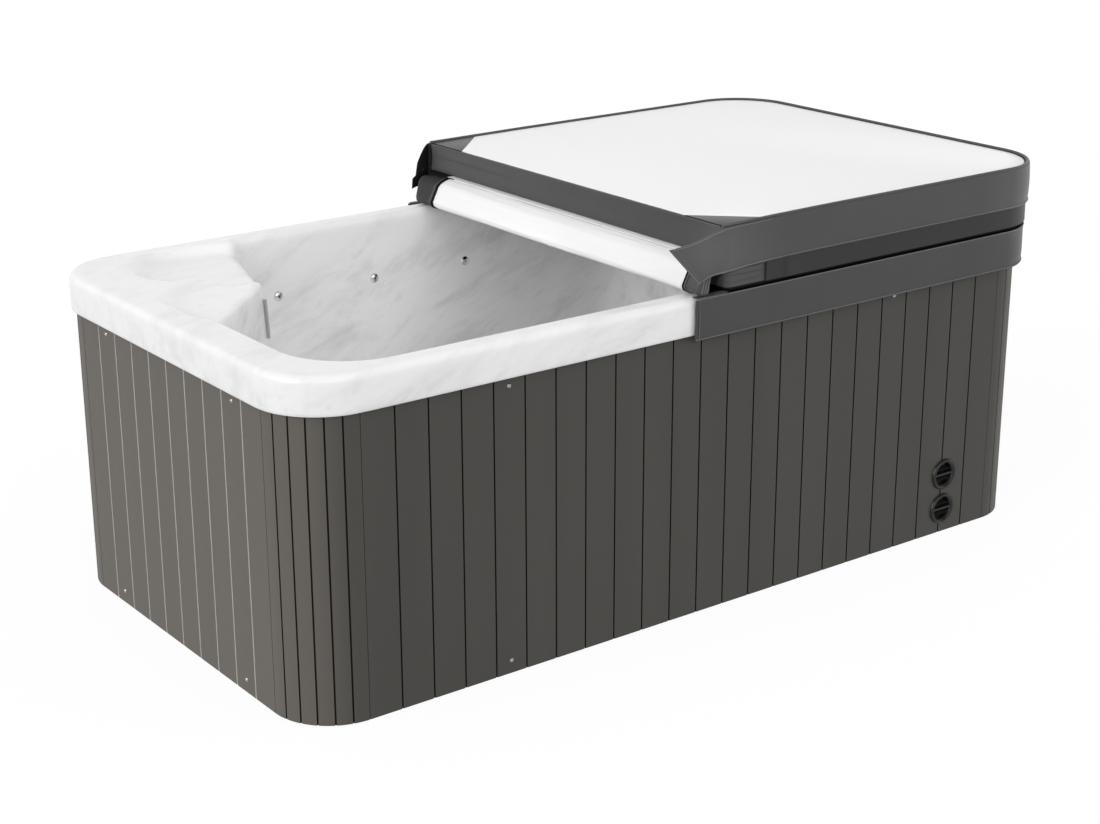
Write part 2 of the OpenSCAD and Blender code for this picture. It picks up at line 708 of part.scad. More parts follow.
module keypad_button_1() { keypad_button(0); }
module keypad_button_2() { keypad_button(1); }
module keypad_button_3() { keypad_button(2); }
module keypad_button_4() { keypad_button(3); }

flange_t = 2.4;
stem_d = 9;
valve_h = 70;
module valve(y) {
    color("#e6e6e6") translate([knob_x, y, tray_z + seat]) difference() {
        union() {
            cylinder(d = knob_d + 6, h = flange_t);
            translate([0, 0, -valve_h]) cylinder(d = valve_bore - 0.6, h = valve_h + 1);
        }
        translate([0, 0, -16]) cylinder(d = stem_d + 0.1, h = 30);
        translate([0, 0, -valve_h - 1]) cylinder(d = 12, h = valve_h - 20);
    }
}
module knob(y) {
    h = tub_h - 1.4 - (tray_z + seat + flange_t + seat);
    color("#c9ced2") translate([knob_x, y, tray_z + seat + flange_t + seat]) {
        difference() {
            cylinder(d = knob_d, h = h);
            for (a = [0:30:330]) rotate(a) translate([knob_d / 2 + 2.5, 0, -1]) cylinder(d = 9, h = h + 2);
            translate([0, 0, h - 2.5]) tube(knob_d * 0.36, knob_d * 0.16, 4);
        }
        translate([0, knob_d * 0.28, h - 2.6]) cylinder(d = 4, h = 2.6);
        translate([0, 0, -12]) cylinder(d = stem_d, h = 13);
    }
}
module air_valve() { valve(air_y); }
module air_knob() { knob(air_y); }
module diverter_valve() { valve(diverter_y); }
module diverter_knob() { knob(diverter_y); }

cup_r = filter_r - 0.5;
lid_t = 6;
module filter_housing() {
    color("#e6e6e6") translate([lid_x, lid_y, tray_z + seat]) {
        difference() {
            union() {
                cylinder(d = lid_d + 6, h = 2.4);
                translate([0, 0, -filter_h]) cylinder(r = cup_r, h = filter_h + 1);
                translate([0, 0, -filter_h - 40]) cylinder(d = pipe_d, h = 42);
            }
            translate([0, 0, -filter_h + 4]) cylinder(r = cup_r - 3.5, h = filter_h + 10);
            translate([0, 0, -filter_h - 50]) cylinder(d = pipe_d - 8, h = 60);
        }
    }
}
// Pleated filter cartridge between two end caps
module filter_cartridge() {
    r = cup_r - 14;
    h = filter_h - 70;
    pleats = 40;
    color("#dfe6ea") translate([lid_x, lid_y, tray_z + seat - filter_h + 4 + seat]) difference() {
        union() {
            cylinder(r = r + 2, h = 12);
            translate([0, 0, h - 12]) cylinder(r = r + 2, h = 12);
            translate([0, 0, 6]) linear_extrude(h - 12) polygon([for (i = [0:2 * pleats - 1])
                let (q = i % 2 == 0 ? r : r - 12) q * [cos(180 * i / pleats), sin(180 * i / pleats)]]);
        }
        translate([0, 0, -1]) cylinder(r = r * 0.35, h = h + 2);
    }
}
module filter_lid() {
    z0 = tray_z + 2 * seat + 2.4;
    h = min(lid_t, tub_h - 1.4 - z0);
    color("#eeeeee") translate([lid_x, lid_y, z0]) difference() {
        union() {
            cylinder(d = lid_d, h = h - 1.5);
            cylinder(d = lid_d - 4, h = h);
            translate([0, 0, -14]) tube(cup_r - 4, cup_r - 7, 15);
        }
        for (s = [0, 1]) mirror([s, 0, 0]) translate([0, 0, h - 3]) intersection() {
            cylinder(r = lid_d * 0.3, h = 10);
            translate([8, -lid_d / 2, 0]) cube([lid_d, lid_d, 10]);
        }
    }
}

// Equipment bay
pump_y = -260;
pump_x = well_x1 + 50;
wet_l = 65;
wet_r = 85;
outlet_h = 25;
pump_z = pan_t + 20 + motor_d / 2;
heater_x = half_l - 180;
heater_d = 62;
heater_l = 300;
box_h = 250;
box_w = 150;
heater_z = pan_t + seat + box_h + 14 + heater_d / 2;
heater_y0 = -130;

module pump_wet_end() {
    color("#2f3236") translate([pump_x, pump_y, pump_z]) difference() {
        union() {
            rotate([0, 90, 0]) cylinder(r = wet_r, h = wet_l, $fn = 96);
            rotate([0, 90, 0]) translate([0, 0, -8]) cylinder(d = pipe_d + 20, h = 10);
            translate([wet_l / 2, 0, 0]) cylinder(d = pipe_d + 12, h = wet_r + outlet_h);
            for (a = [0:45:315]) rotate([a, 0, 0]) translate([-3, 0, wet_r - 12]) rotate([0, 90, 0]) cylinder(d = 12, h = wet_l);
        }
        translate([-20, 0, 0]) rotate([0, 90, 0]) cylinder(d = pipe_d - 6, h = 20 + wet_l / 2);
        translate([wet_l / 2, 0, 0]) cylinder(d = pipe_d - 6, h = wet_r + outlet_h + 1);
    }
}
module pump_motor() {
    x0 = pump_x + wet_l + seat;
    color("#3a4a5c") {
        difference() {
            union() {
                translate([x0, pump_y, pump_z]) rotate([0, 90, 0]) {
                    cylinder(d = motor_d, h = 14);
                    cylinder(d = motor_d - 14, h = motor_l);
                    for (a = [10:20:350]) rotate(a) translate([motor_d / 2 - 12, -1.5, 12]) cube([9, 3, motor_l - 60]);
                    translate([0, 0, motor_l - 40]) cylinder(d = motor_d - 2, h = 40);
                }
                bar([x0 + 30, pump_y - 55, pan_t + seat], [x0 + motor_l - 50, pump_y + 55, pump_z - motor_d / 2 + 22]);
                bar([x0 + 70, pump_y - 45, pump_z + motor_d / 2 - 20], [x0 + 150, pump_y + 45, pump_z + motor_d / 2 + 22]);
            }
            for (a = [0:45:315]) translate([x0 + motor_l - 5, pump_y, pump_z]) rotate([a, 0, 0])
                translate([0, -3, motor_d / 6]) cube([10, 6, motor_d / 5.5]);
        }
    }
}
module control_box() {
    w = box_w;
    color("#4a4e52") translate([heater_x - w / 2, heater_y0 + 30, pan_t + seat]) {
        difference() {
            cube([w, heater_l - 60, box_h]);
            for (i = [0:5]) translate([-1, 30 + 32 * i, 30]) cube([4, 12, box_h - 60]);
        }
        for (y = [20, heater_l - 110]) difference() {
            translate([w / 2 - 45, y, box_h - 1]) cube([90, 30, 35]);
            translate([w / 2, y - 1, box_h + 14 + heater_d / 2]) rotate([-90, 0, 0]) cylinder(d = heater_d + 2 * seat, h = 32);
        }
    }
}
module heater_tube() {
    color("silver") translate([heater_x, heater_y0, heater_z]) rotate([-90, 0, 0]) {
        cylinder(d = heater_d, h = heater_l);
        for (z = [0, heater_l - 14]) translate([0, 0, z]) cylinder(d = heater_d + 16, h = 14);
    }
}

blower_x = half_l - 165;
// The blower stands this far in from the lower frame
blower_gap = 35.2;
blower_y = rail_y - timber - blower_gap - blower_d / 2;
blower_h = 170;
air_d = 36;
module air_blower() {
    color("#e6e6e6") translate([blower_x, blower_y, pan_t + seat]) difference() {
        union() {
            cylinder(d = blower_d, h = 20);
            cylinder(d = blower_d - 16, h = blower_h - 30);
            translate([0, 0, blower_h - 30]) cylinder(d1 = blower_d - 16, d2 = air_d + 14, h = 30, $fn = 64);
        }
        for (a = [0:20:340]) rotate(a) translate([blower_d / 2 - 16, -2, 40]) cube([20, 4, 70]);
    }
}

suction_back = 42;
// Depths of the return pipe's and the air pipe's upper runs below the rim
return_drop = 220;
air_drop = 160;
// Straight run of the return pipe after the heater
return_run = 60;
module suction_pipe() {
    x0 = foot_x1 + suction_back;
    x = pump_x - 32;
    z = suction_z - 1.5;
    fy = lid_y;
    fz = tray_z + seat - filter_h - 40 - seat;
    color("white") {
        pipe_run([[lid_x, fy, fz], [lid_x, fy, fz - 48], [x, fy, fz - 48], [x, fy, z], [x, pump_y, z],
            [x, pump_y, pump_z], [pump_x - 8 - seat, pump_y, pump_z]], pipe_d);
        for (s = [-1, 1]) pipe_run([[x0, s * suction_y, z], [x, s * suction_y, z]], pipe_d);
    }
}
module pressure_pipe() {
    x = pump_x + wet_l / 2;
    z0 = pump_z + wet_r + outlet_h + seat;
    color("white") pipe_run([[x, pump_y, z0], [x, pump_y, heater_z], [heater_x, pump_y, heater_z],
        [heater_x, heater_y0 - seat, heater_z]], pipe_d);
}
module return_pipe() {
    y1 = heater_y0 + heater_l + seat;
    y2 = y1 + return_run;
    z1 = tub_h - return_drop;
    color("white") pipe_run([[heater_x, y1, heater_z], [heater_x, y2, heater_z], [knob_x, y2, heater_z],
        [knob_x, y2, z1], [knob_x, diverter_y, z1], [knob_x, diverter_y, tray_z - valve_h]], pipe_d);
}
module air_pipe() {
    z1 = tub_h - air_drop;
    color("white") pipe_run([[blower_x, blower_y, pan_t + seat + blower_h + seat], [blower_x, blower_y, z1],
        [blower_x, air_y, z1], [knob_x, air_y, z1], [knob_x, air_y, tray_z - valve_h]], air_d);
}

// Folding cover: the lower half lies on the rim, the upper half is folded over onto it
cov_x = half_l + 5.5;
cov_y = half_w + 8.5;
cov_z = tub_h + seat;
web_t = 0.75;
web_gap = 1.2;
fold_z = cov_z + cover_t + web_gap;
liner_t = 1.4;
// Width of the binding round the liner
border_t = 9;
upper_z = fold_z + web_gap;
upper_top = upper_z + cover_t - liner_t - 0.2;

function arc_inc(c, r, a0, a1, n) = [for (i = [0:n]) let (a = mix(a0, a1, i / n)) c + r * [cos(a), sin(a)]];
// The crown ends over the well's far end, so the closed half rests on the deck with a flat border
crown_x = 95 - 2 * fold_x - nose_x;
// Outline of a half: square corners at the fold, round ones at its far end, at an inward offset d
function pad_outline(d, rh, nh, xe = cov_x) = let (x0 = d - butt_x, x1 = xe - d, y = cov_y - d, r = max(cover_r - d, 8))
    concat(arc_inc([x0 + rh, rh - y], rh, 270, 180, nh), arc_inc([x0 + rh, y - rh], rh, 180, 90, nh),
        arc_inc([x1 - r, y - r], r, 90, 0, 8), arc_inc([x1 - r, r - y], r, 0, -90, 8));

// Padded half from z0 to z1, its edges rounded and its sides drawn in, crowned on top by c
module pad(z0, z1, c) {
    h = z1 - z0;
    loft([
        with_z(pad_outline(10, 8, 3), z0),
        with_z(pad_outline(3, 10, 3), z0 + 2),
        with_z(pad_outline(0, 12, 3), z0 + 9),
        with_z(pad_outline(2, 12, 3), z0 + h / 2),
        with_z(pad_outline(0, 12, 3), z1 - 9),
        with_z(pad_outline(3, 10, 3), z1 - 2),
        with_z(pad_outline(10, 8, 3), z1),
        with_z(pad_outline(95, 8, 3, crown_x), z1 + 0.02 * c),
        with_z(pad_outline(150, 8, 3, crown_x), z1 + 0.5 * c),
        with_z(pad_outline(240, 8, 3, crown_x), z1 + 0.9 * c)
    ], [(cov_x - butt_x) / 2, 0, z0], [crown_x / 2, 0, z1 + c]);
}

vinyl = "#4a4a4c";
module lower_cover_pad() { color(vinyl) pad(cov_z, cov_z + cover_t, 0); }
module upper_cover_pad() { color(vinyl) pad(upper_z, upper_top, crown); }

// Outline at an inward offset d whose fold corners are cut straight across at leg, in 3 steps
function cut_corners(d, leg) = let (o = pad_outline(d, 8, 3), x0 = d - butt_x, y0 = cov_y - d) concat(
    [for (i = [0:3]) [x0 + leg * (1 - i / 3), leg * i / 3 - y0]], [for (i = [0:3]) [x0 + leg * i / 3, y0 - leg * (1 - i / 3)]],
    [for (i = [8:len(o) - 1]) o[i]]);

// White underside of the folded half, its corners at the fold cut off
module cover_liner() {
    z = upper_top + 0.2;
    e = border_t;
    leg = patch_leg - e;
    color("white") loft([
        with_z(pad_outline(240, 8, 3, crown_x), z + 0.9 * crown),
        with_z(pad_outline(150, 8, 3, crown_x), z + 0.5 * crown),
        with_z(pad_outline(95, 8, 3, crown_x), z + 0.02 * crown),
        with_z(cut_corners(e, leg), z),
        with_z(cut_corners(e, leg), z + liner_t - 0.4),
        with_z(cut_corners(e + 1, leg - 1), z + liner_t),
        with_z(pad_outline(95, 8, 3, crown_x), z + liner_t + 0.02 * crown),
        with_z(pad_outline(150, 8, 3, crown_x), z + liner_t + 0.5 * crown),
        with_z(pad_outline(240, 8, 3, crown_x), z + liner_t + 0.9 * crown)
    ], [crown_x / 2, 0, z + crown], [crown_x / 2, 0, z + liner_t + crown]);
}

module corner_patches() {
    x0 = border_t - butt_x;
    y0 = cov_y - border_t;
    leg = patch_leg - border_t - 1;
    color(vinyl) for (s = [0, 1]) mirror([0, s, 0]) translate([0, 0, upper_top + 0.2]) linear_extrude(liner_t - 0.2)
        polygon([[x0, y0], [x0, y0 - leg], [x0 + leg, y0]]);
}

// Web that joins the halves along the fold, one leaf on each half; the lower leaf carries the bead
module web_leaf(x0, z0) {
    translate([x0, -cov_y + 18, z0]) cube([40 - x0, 2 * cov_y - 36, web_t]);
}
module lower_hinge_web() {
    color(vinyl) union() {
        web_leaf(-fold_x + 1, fold_z - 0.15 - web_t);
        translate([-fold_x, cov_y - 18, fold_z]) rotate([90, 0, 0]) cylinder(d = 3, h = 2 * cov_y - 36);
    }
}
module upper_hinge_web() {
    color(vinyl) web_leaf(-fold_x + 2.4, fold_z + 0.15);
}

// Heat seal roll: section of the padded roll at scale k, flat at its back, fullest low at its front
seal_h = cover_t - 2;
seal_x = -butt_x - seat;
function seal_section(y, k) = let (zm = 0.27 * seal_h) concat(
    [for (i = [0:9]) let (a = 90 * i / 9) [seal_x - seal_w * k * cos(a), y, cov_z + zm + (seal_h - zm) * k * sin(a)]],
    [for (i = [0:1]) [seal_x, y, cov_z + zm - zm * k * i]],
    [for (i = [1:5]) let (a = 90 - 15 * i) [seal_x - seal_w * k * pow(cos(a), 0.5), y, cov_z + zm - zm * k * pow(sin(a), 0.6)]]);
seal_end = cov_y - 4;
seal_y = seal_end - seal_cap;
module heat_seal_roll() {
    prof = [[-1, 0.9], [-0.985, 0.96], [-0.94, 0.985], [-0.5, 1], [0, 1], [0.5, 1], [0.94, 0.985], [0.985, 0.96], [1, 0.9]];
    color("white") loft([for (p = prof) seal_section(p[0] * seal_y, p[1])],
        [seal_x - seal_w / 2, -seal_y, cov_z + seal_h / 2], [seal_x - seal_w / 2, seal_y, cov_z + seal_h / 2]);
}
module heat_seal_ends() {
    y0 = seal_y + seat;
    color(vinyl) for (s = [0, 1]) mirror([0, s, 0]) loft([
        seal_section(y0, 0.93), seal_section(y0 + 1, 1), seal_section(y0 + 4, 1), seal_section(y0 + 7, 0.95),
        seal_section(seal_end - 4, 0.95), seal_section(seal_end, 0.86)
    ], [seal_x - seal_w / 2, y0, cov_z + seal_h / 2], [seal_x - seal_w / 2, seal_end, cov_z + seal_h / 2]);
}

// Skirts: a path round the cover's free sides, from the near fold corner to the far one.
// Each path point is [x, y, outward normal x, outward normal y]
function skirt_path(g) = let (x1 = half_l + g, y1 = half_w + g, r = rim_r + g) concat(
    [for (x = steps(-butt_x, x1 - r, 12)) [x, -y1, 0, -1]],
    [for (a = steps(-90, 0, 9)) [x1 - r + r * cos(a), r - y1 + r * sin(a), cos(a), sin(a)]],
    [for (y = steps(r - y1, y1 - r, 10)) [x1, y, 1, 0]],
    [for (a = steps(0, 90, 9)) [x1 - r + r * cos(a), y1 - r + r * sin(a), cos(a), sin(a)]],
    [for (x = concat(steps(x1 - r, -butt_x, 12), [-butt_x])) [x, y1, 0, 1]]);

// Section of the hanging cloth at a path point: a soft fold bulges outwards by w at mid height
function skirt_section(p, z0, z1, w) = let (n = [p[2], p[3], 0], b = [p[0], p[1], 0], zm = (z0 + z1) / 2) [
    b + [0, 0, z1], b + n * w + [0, 0, zm], b + [0, 0, z0],
    b + n * skirt_t + [0, 0, z0], b + n * (skirt_t + w) + [0, 0, zm], b + n * skirt_t + [0, 0, z1]];
function fold_w(i) = 1.4 * (1 + sin(i * 74));

// Tongue of a skirt past the fold: t runs from 0 at its tip to 1 at the fold's corner
function tongue(side, g, reach, flare, ztip0, ztip1, z0, z1) = [for (i = [0:3]) let (t = i / 4)
    skirt_section([-butt_x - reach * (1 - t), side * (half_w + g + flare * pow(1 - t, 1.6)), 0, side],
        mix(ztip0, z0, pow(t, 0.35)), mix(ztip1, z1, t), 0)];

module skirt_loft(near, mid, far) {
    rings = concat(near, mid, far);
    a = rings[0];
    b = rings[len(rings) - 1];
    loft(rings, (a[1] + a[4]) / 2, (b[1] + b[4]) / 2);
}

module lower_cover_skirt() {
    g = 1.5;
    z1 = tub_h;
    z0 = z1 - skirt_h + 4;
    path = skirt_path(g);
    color(vinyl) skirt_loft(tongue(-1, g, 72, 0, z0, z1 - 14, z0, z1),
        [for (i = [0:len(path) - 1]) skirt_section(path[i], z0, z1, fold_w(i))],
        [for (i = [0:3]) tongue(1, g, 72, 0, z0, z1 - 14, z0, z1)[3 - i]]);
}

module upper_cover_skirt() {
    g = cov_y - half_w + seat;
    z1 = upper_top + liner_t;
    z0 = z1 - skirt_h;
    path = skirt_path(g);
    color(vinyl) skirt_loft(tongue(-1, g, 168, 22, z1 - 34, z1 - 30, z0 - 6, z1),
        [for (i = [0:len(path) - 1]) skirt_section(path[i], z0, z1, fold_w(i))],
        [for (i = [0:3]) tongue(1, g, 46, 10, z0 - 14, z0 - 4, z0, z1)[3 - i]]);
}

base_pan();
lower_frame();
frame_posts();
upper_frame();
shell_cradle();
front_panel();
back_panel();
low_end_panel();
bay_end_panel();
front_low_corner();
back_low_corner();
front_bay_corner();
back_bay_corner();
panel_screws();
upper_vent();
lower_vent();
tub_shell();
nose_lamp();
wall_jets();
back_jet_bodies();
back_jet_face_1();
back_jet_face_2();
suction_covers();
floor_drain();
lamp_lens();
lamp_housing();
keypad_bezel();
keypad_button_1();
keypad_button_2();
keypad_button_3();
keypad_button_4();
air_valve();
air_knob();
diverter_valve();
diverter_knob();
filter_housing();
filter_cartridge();
filter_lid();
pump_motor();
pump_wet_end();
control_box();
heater_tube();
air_blower();
suction_pipe();
pressure_pipe();
return_pipe();
air_pipe();
lower_cover_pad();
lower_cover_skirt();
heat_seal_roll();
heat_seal_ends();
lower_hinge_web();
upper_cover_pad();
upper_hinge_web();
cover_liner();
corner_patches();
upper_cover_skirt();
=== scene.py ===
# %% [markdown]
# A compact hot tub stands with its padded cover folded back over the equipment end. The rigid parts
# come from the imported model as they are. Soft parts and the moulded shell are made again here, on the
# same places, because cloth and acrylic need finer surfaces than a solid for construction has.

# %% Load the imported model
import bpy
import math
from mathutils import Matrix, Vector, noise


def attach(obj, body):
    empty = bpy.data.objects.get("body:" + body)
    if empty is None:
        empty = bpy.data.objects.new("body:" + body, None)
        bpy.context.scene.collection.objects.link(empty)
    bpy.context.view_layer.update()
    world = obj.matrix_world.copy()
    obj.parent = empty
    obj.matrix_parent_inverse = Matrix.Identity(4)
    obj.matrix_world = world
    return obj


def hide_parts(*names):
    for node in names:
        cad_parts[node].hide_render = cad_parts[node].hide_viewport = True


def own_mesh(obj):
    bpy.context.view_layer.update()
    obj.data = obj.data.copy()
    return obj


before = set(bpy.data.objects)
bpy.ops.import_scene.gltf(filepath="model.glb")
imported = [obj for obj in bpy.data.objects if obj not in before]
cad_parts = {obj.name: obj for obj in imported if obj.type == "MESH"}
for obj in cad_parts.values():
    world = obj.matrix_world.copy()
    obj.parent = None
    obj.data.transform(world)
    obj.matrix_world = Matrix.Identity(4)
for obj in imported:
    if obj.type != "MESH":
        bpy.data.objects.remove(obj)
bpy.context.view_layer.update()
MM = 0.001
BASE, FOLDED = "cover_base", "cover_top"

# %% [markdown]
# A few small helpers keep the modelling steps short. An operator works on everything selected, so each
# step starts from an empty selection. A finished piece gets its material and its body at once.

# %% Helpers for pieces
def pick(*objs):
    """Select these alone, the first of them active; with none, select nothing"""
    bpy.ops.object.select_all(action="DESELECT")
    for o in objs:
        o.select_set(True)
    if objs:
        bpy.context.view_layer.objects.active = objs[0]


def apply_all(obj):
    pick(obj)
    for m in list(obj.modifiers):
        bpy.ops.object.modifier_apply(modifier=m.name)


def dress(obj, material):
    obj.data.materials.clear()
    obj.data.materials.append(material)


def settle(obj, name, material, body, stands_for=()):
    """Place, name, finish and ride one piece, and hide the imported nodes it stands for"""
    pick(obj)
    bpy.ops.object.transform_apply(location=True, rotation=True, scale=True)
    obj.name = obj.data.name = name
    dress(obj, material)
    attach(obj, body)
    if stands_for:
        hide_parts(*stands_for)
    tris = sum(len(p.vertices) - 2 for p in obj.data.polygons)
    print(f"{name}: {tris} triangles on {body}")
    return obj


def smooth(obj, degrees):
    pick(obj)
    bpy.ops.object.shade_smooth_by_angle(angle=math.radians(degrees))


def edit_all(obj, operator, **values):
    """One edit-mode operator on the whole mesh"""
    pick(obj)
    bpy.ops.object.mode_set(mode="EDIT")
    bpy.ops.mesh.select_all(action="SELECT")
    operator(**values)
    bpy.ops.object.mode_set(mode="OBJECT")


def subdivide(obj):
    rounder = obj.modifiers.new("rounder", "SUBSURF")
    rounder.levels = rounder.render_levels = 1
    apply_all(obj)


def thicken(obj, thickness):
    wall = obj.modifiers.new("wall", "SOLIDIFY")
    wall.thickness, wall.offset = thickness, 0
    apply_all(obj)


def round_edges(obj, width):
    rounder = obj.modifiers.new("rounder", "BEVEL")
    rounder.width, rounder.segments = width, 2
    apply_all(obj)


def box(lo, hi):
    pick()
    lo, hi = Vector(lo), Vector(hi)
    bpy.ops.mesh.primitive_cube_add(size=1, location=(lo + hi) / 2, scale=hi - lo)
    return bpy.context.object


def repaint(obj, test, *materials):
    """More materials, for the faces to which test(centre, normal) gives their numbers"""
    for material in materials:
        obj.data.materials.append(material)
    for face in obj.data.polygons:
        face.material_index = int(test(obj.matrix_world @ face.center, face.normal))


# %% [markdown]
# A moulded or padded form is easiest as a loft: rings with the same number of points, joined by quads
# and closed by a fan at each end. By hand it would be many edge loops bridged one after another.

# %% Loft helper
def mix(a, b, t):
    return a + (b - a) * t


def steps(a, b, n):
    return [mix(a, b, i / n) for i in range(n)]


def clamp(t):
    return max(0.0, min(1.0, t))


def arch(t):
    """0 at both ends, 1 in the middle"""
    return math.sin(math.pi * t)


def ease(t):
    return t * t * (3 - 2 * t)


def loft(name, rings, first=None, last=None):
    n = len(rings[0])
    verts = [p for r in rings for p in r]
    faces = [(j * n + i, (j + 1) * n + i, (j + 1) * n + (i + 1) % n, j * n + (i + 1) % n)
             for j in range(len(rings) - 1) for i in range(n)]
    for centre, base, turn in ((first, 0, 1), (last, (len(rings) - 1) * n, -1)):
        if centre is None:
            continue
        verts.append(centre)
        for i in range(n):
            a, b = base + i, base + (i + 1) % n
            faces.append((len(verts) - 1, a, b) if turn > 0 else (len(verts) - 1, b, a))
    mesh = bpy.data.meshes.new(name)
    mesh.from_pydata([Vector(v) * MM for v in verts], [], faces)
    obj = bpy.data.objects.new(name, mesh)
    bpy.context.collection.objects.link(obj)
    edit_all(obj, bpy.ops.mesh.normals_make_consistent, inside=False)
    return obj


# %% [markdown]
# Each finish is a small graph of nodes on Object coordinates, which are metres in the model's own frame,
# so grain and marbling keep their real size. The helpers add one node, or a few that recur.

# %% Helpers for materials
def new_material(name, colour, roughness, **values):
    mat = bpy.data.materials.new(name)
    mat.use_nodes = True
    shader = mat.node_tree.nodes["Principled BSDF"]
    shader.inputs["Base Color"].default_value = (*colour, 1)
    shader.inputs["Roughness"].default_value = roughness
    for key, value in values.items():
        shader.inputs[key.replace("_", " ")].default_value = value
    mat.diffuse_color = (*colour, 1)
    return mat


def add(mat, kind, wires=None, **values):
    node = mat.node_tree.nodes.new("ShaderNode" + kind)
    for key, value in values.items():
        if key in node.inputs:
            node.inputs[key].default_value = value
        elif key.replace("_", " ") in node.inputs:
            node.inputs[key.replace("_", " ")].default_value = value
        else:
            setattr(node, key, value)
    for socket, source in (wires or {}).items():
        mat.node_tree.links.new(source, node.inputs[socket])
    return node


def place(mat, scale=(1, 1, 1), turn=(0, 0, 0)):
    coords = add(mat, "TexCoord")
    mapping = add(mat, "Mapping", {"Vector": coords.outputs["Object"]})
    mapping.inputs["Scale"].default_value = scale
    mapping.inputs["Rotation"].default_value = [math.radians(a) for a in turn]
    return mapping.outputs["Vector"]


def ramp(mat, value, low, high, at_low, at_high):
    """A soft step: at_low where the value is under low, at_high where it is over high"""
    node = add(mat, "MapRange", {"Value": value}, interpolation_type="SMOOTHSTEP")
    for key, number in (("From Min", low), ("From Max", high), ("To Min", at_low), ("To Max", at_high)):
        node.inputs[key].default_value = number
    return node.outputs["Result"]


def either(mat, one, two):
    return add(mat, "Math", {0: one, 1: two}, operation="MAXIMUM").outputs[0]


def to_shader(mat, socket, source):
    shader = mat.node_tree.nodes["Principled BSDF"]
    mat.node_tree.links.new(source, shader.inputs[socket])


def blend_colours(mat, factor, one, two):
    node = add(mat, "Mix", data_type="RGBA")
    node.inputs[6].default_value = (*one, 1)
    node.inputs[7].default_value = (*two, 1)
    mat.node_tree.links.new(factor, node.inputs[0])
    return node.outputs[2]


def bump(mat, height, strength, distance):
    node = add(mat, "Bump", {"Height": height}, Strength=strength, Distance=distance)
    to_shader(mat, "Normal", node.outputs["Normal"])


def grainy(mat, scale, strength, distance, detail=4, stretch=(1, 1, 1), spread=0.06):
    """Fine surface grain, and the small change of gloss that goes with it"""
    grain = add(mat, "TexNoise", {"Vector": place(mat, stretch)}, Scale=scale, Detail=detail)
    bump(mat, grain.outputs["Fac"], strength, distance)
    rough = mat.node_tree.nodes["Principled BSDF"].inputs["Roughness"].default_value
    gloss = add(mat, "MapRange", {"Value": grain.outputs["Fac"]})
    gloss.inputs["To Min"].default_value = rough - spread
    gloss.inputs["To Max"].default_value = rough + spread
    to_shader(mat, "Roughness", gloss.outputs["Result"])
    return grain


# %% [markdown]
# Most rigid parts need only a colour, a gloss and a fine grain, so one call makes such a finish.

# %% A finish with grain
def finish(name, colour, roughness, scale, strength, distance=0.0002, spread=0.06, **values):
    mat = new_material(name, colour, roughness, **values)
    grainy(mat, scale, strength, distance, spread=spread)
    return mat


# %% [markdown]
# The shell is vacuum-formed acrylic with a pale marbled pattern: soft grey streaks that all run aslant. The
# coordinates are turned so that one axis follows the streaks, and squeezed along it; noise on them is then
# drawn out into streaks. A painted picture could do it too, but would show seams where the sheet turns down.

# %% Marbled acrylic
PALE, STREAK = (0.84, 0.84, 0.838), (0.60, 0.604, 0.61)
acrylic = new_material("marbled acrylic", PALE, 0.22, Specular_IOR_Level=0.4, Coat_Weight=0.15,
                       Coat_Roughness=0.08)
along = Vector((0.84, 0.26, 0.36)).normalized()
across = along.cross(Vector((0, 1, 0))).normalized()
third = along.cross(across)
wobble = add(acrylic, "TexNoise", {"Vector": place(acrylic)}, Scale=3.0, Detail=2.0)
push = add(acrylic, "VectorMath", {0: wobble.outputs["Color"]}, operation="SCALE", Scale=0.10)
bent = add(acrylic, "VectorMath", {0: place(acrylic), 1: push.outputs[0]}, operation="ADD")


def along_axis(direction, scale):
    node = add(acrylic, "VectorMath", {0: bent.outputs[0]}, operation="DOT_PRODUCT")
    node.inputs[1].default_value = direction * scale
    return node.outputs["Value"]


turned = add(acrylic, "CombineXYZ", {"X": along_axis(along, 2.6), "Y": along_axis(across, 14.0),
                                     "Z": along_axis(third, 14.0)})
streaks = add(acrylic, "TexNoise", {"Vector": turned.outputs[0]}, Scale=1.0, Detail=7.0, Roughness=0.66)
soft = ramp(acrylic, streaks.outputs["Fac"], 0.42, 0.76, 0.0, 0.8)
fine = add(acrylic, "TexNoise", {"Vector": turned.outputs[0]}, Scale=2.7, Detail=6.0, Roughness=0.6)
fine_line = ramp(acrylic, fine.outputs["Fac"], 0.58, 0.70, 0.0, 0.35)
amount = either(acrylic, soft, fine_line)
level = add(acrylic, "SeparateXYZ", {"Vector": place(acrylic)})
on_rim = ramp(acrylic, level.outputs["Z"], 0.69, 0.765, 1.0, 0.5)
amount = add(acrylic, "Math", {0: amount, 1: on_rim}, operation="MULTIPLY")
to_shader(acrylic, "Base Color", blend_colours(acrylic, amount.outputs[0], PALE, STREAK))
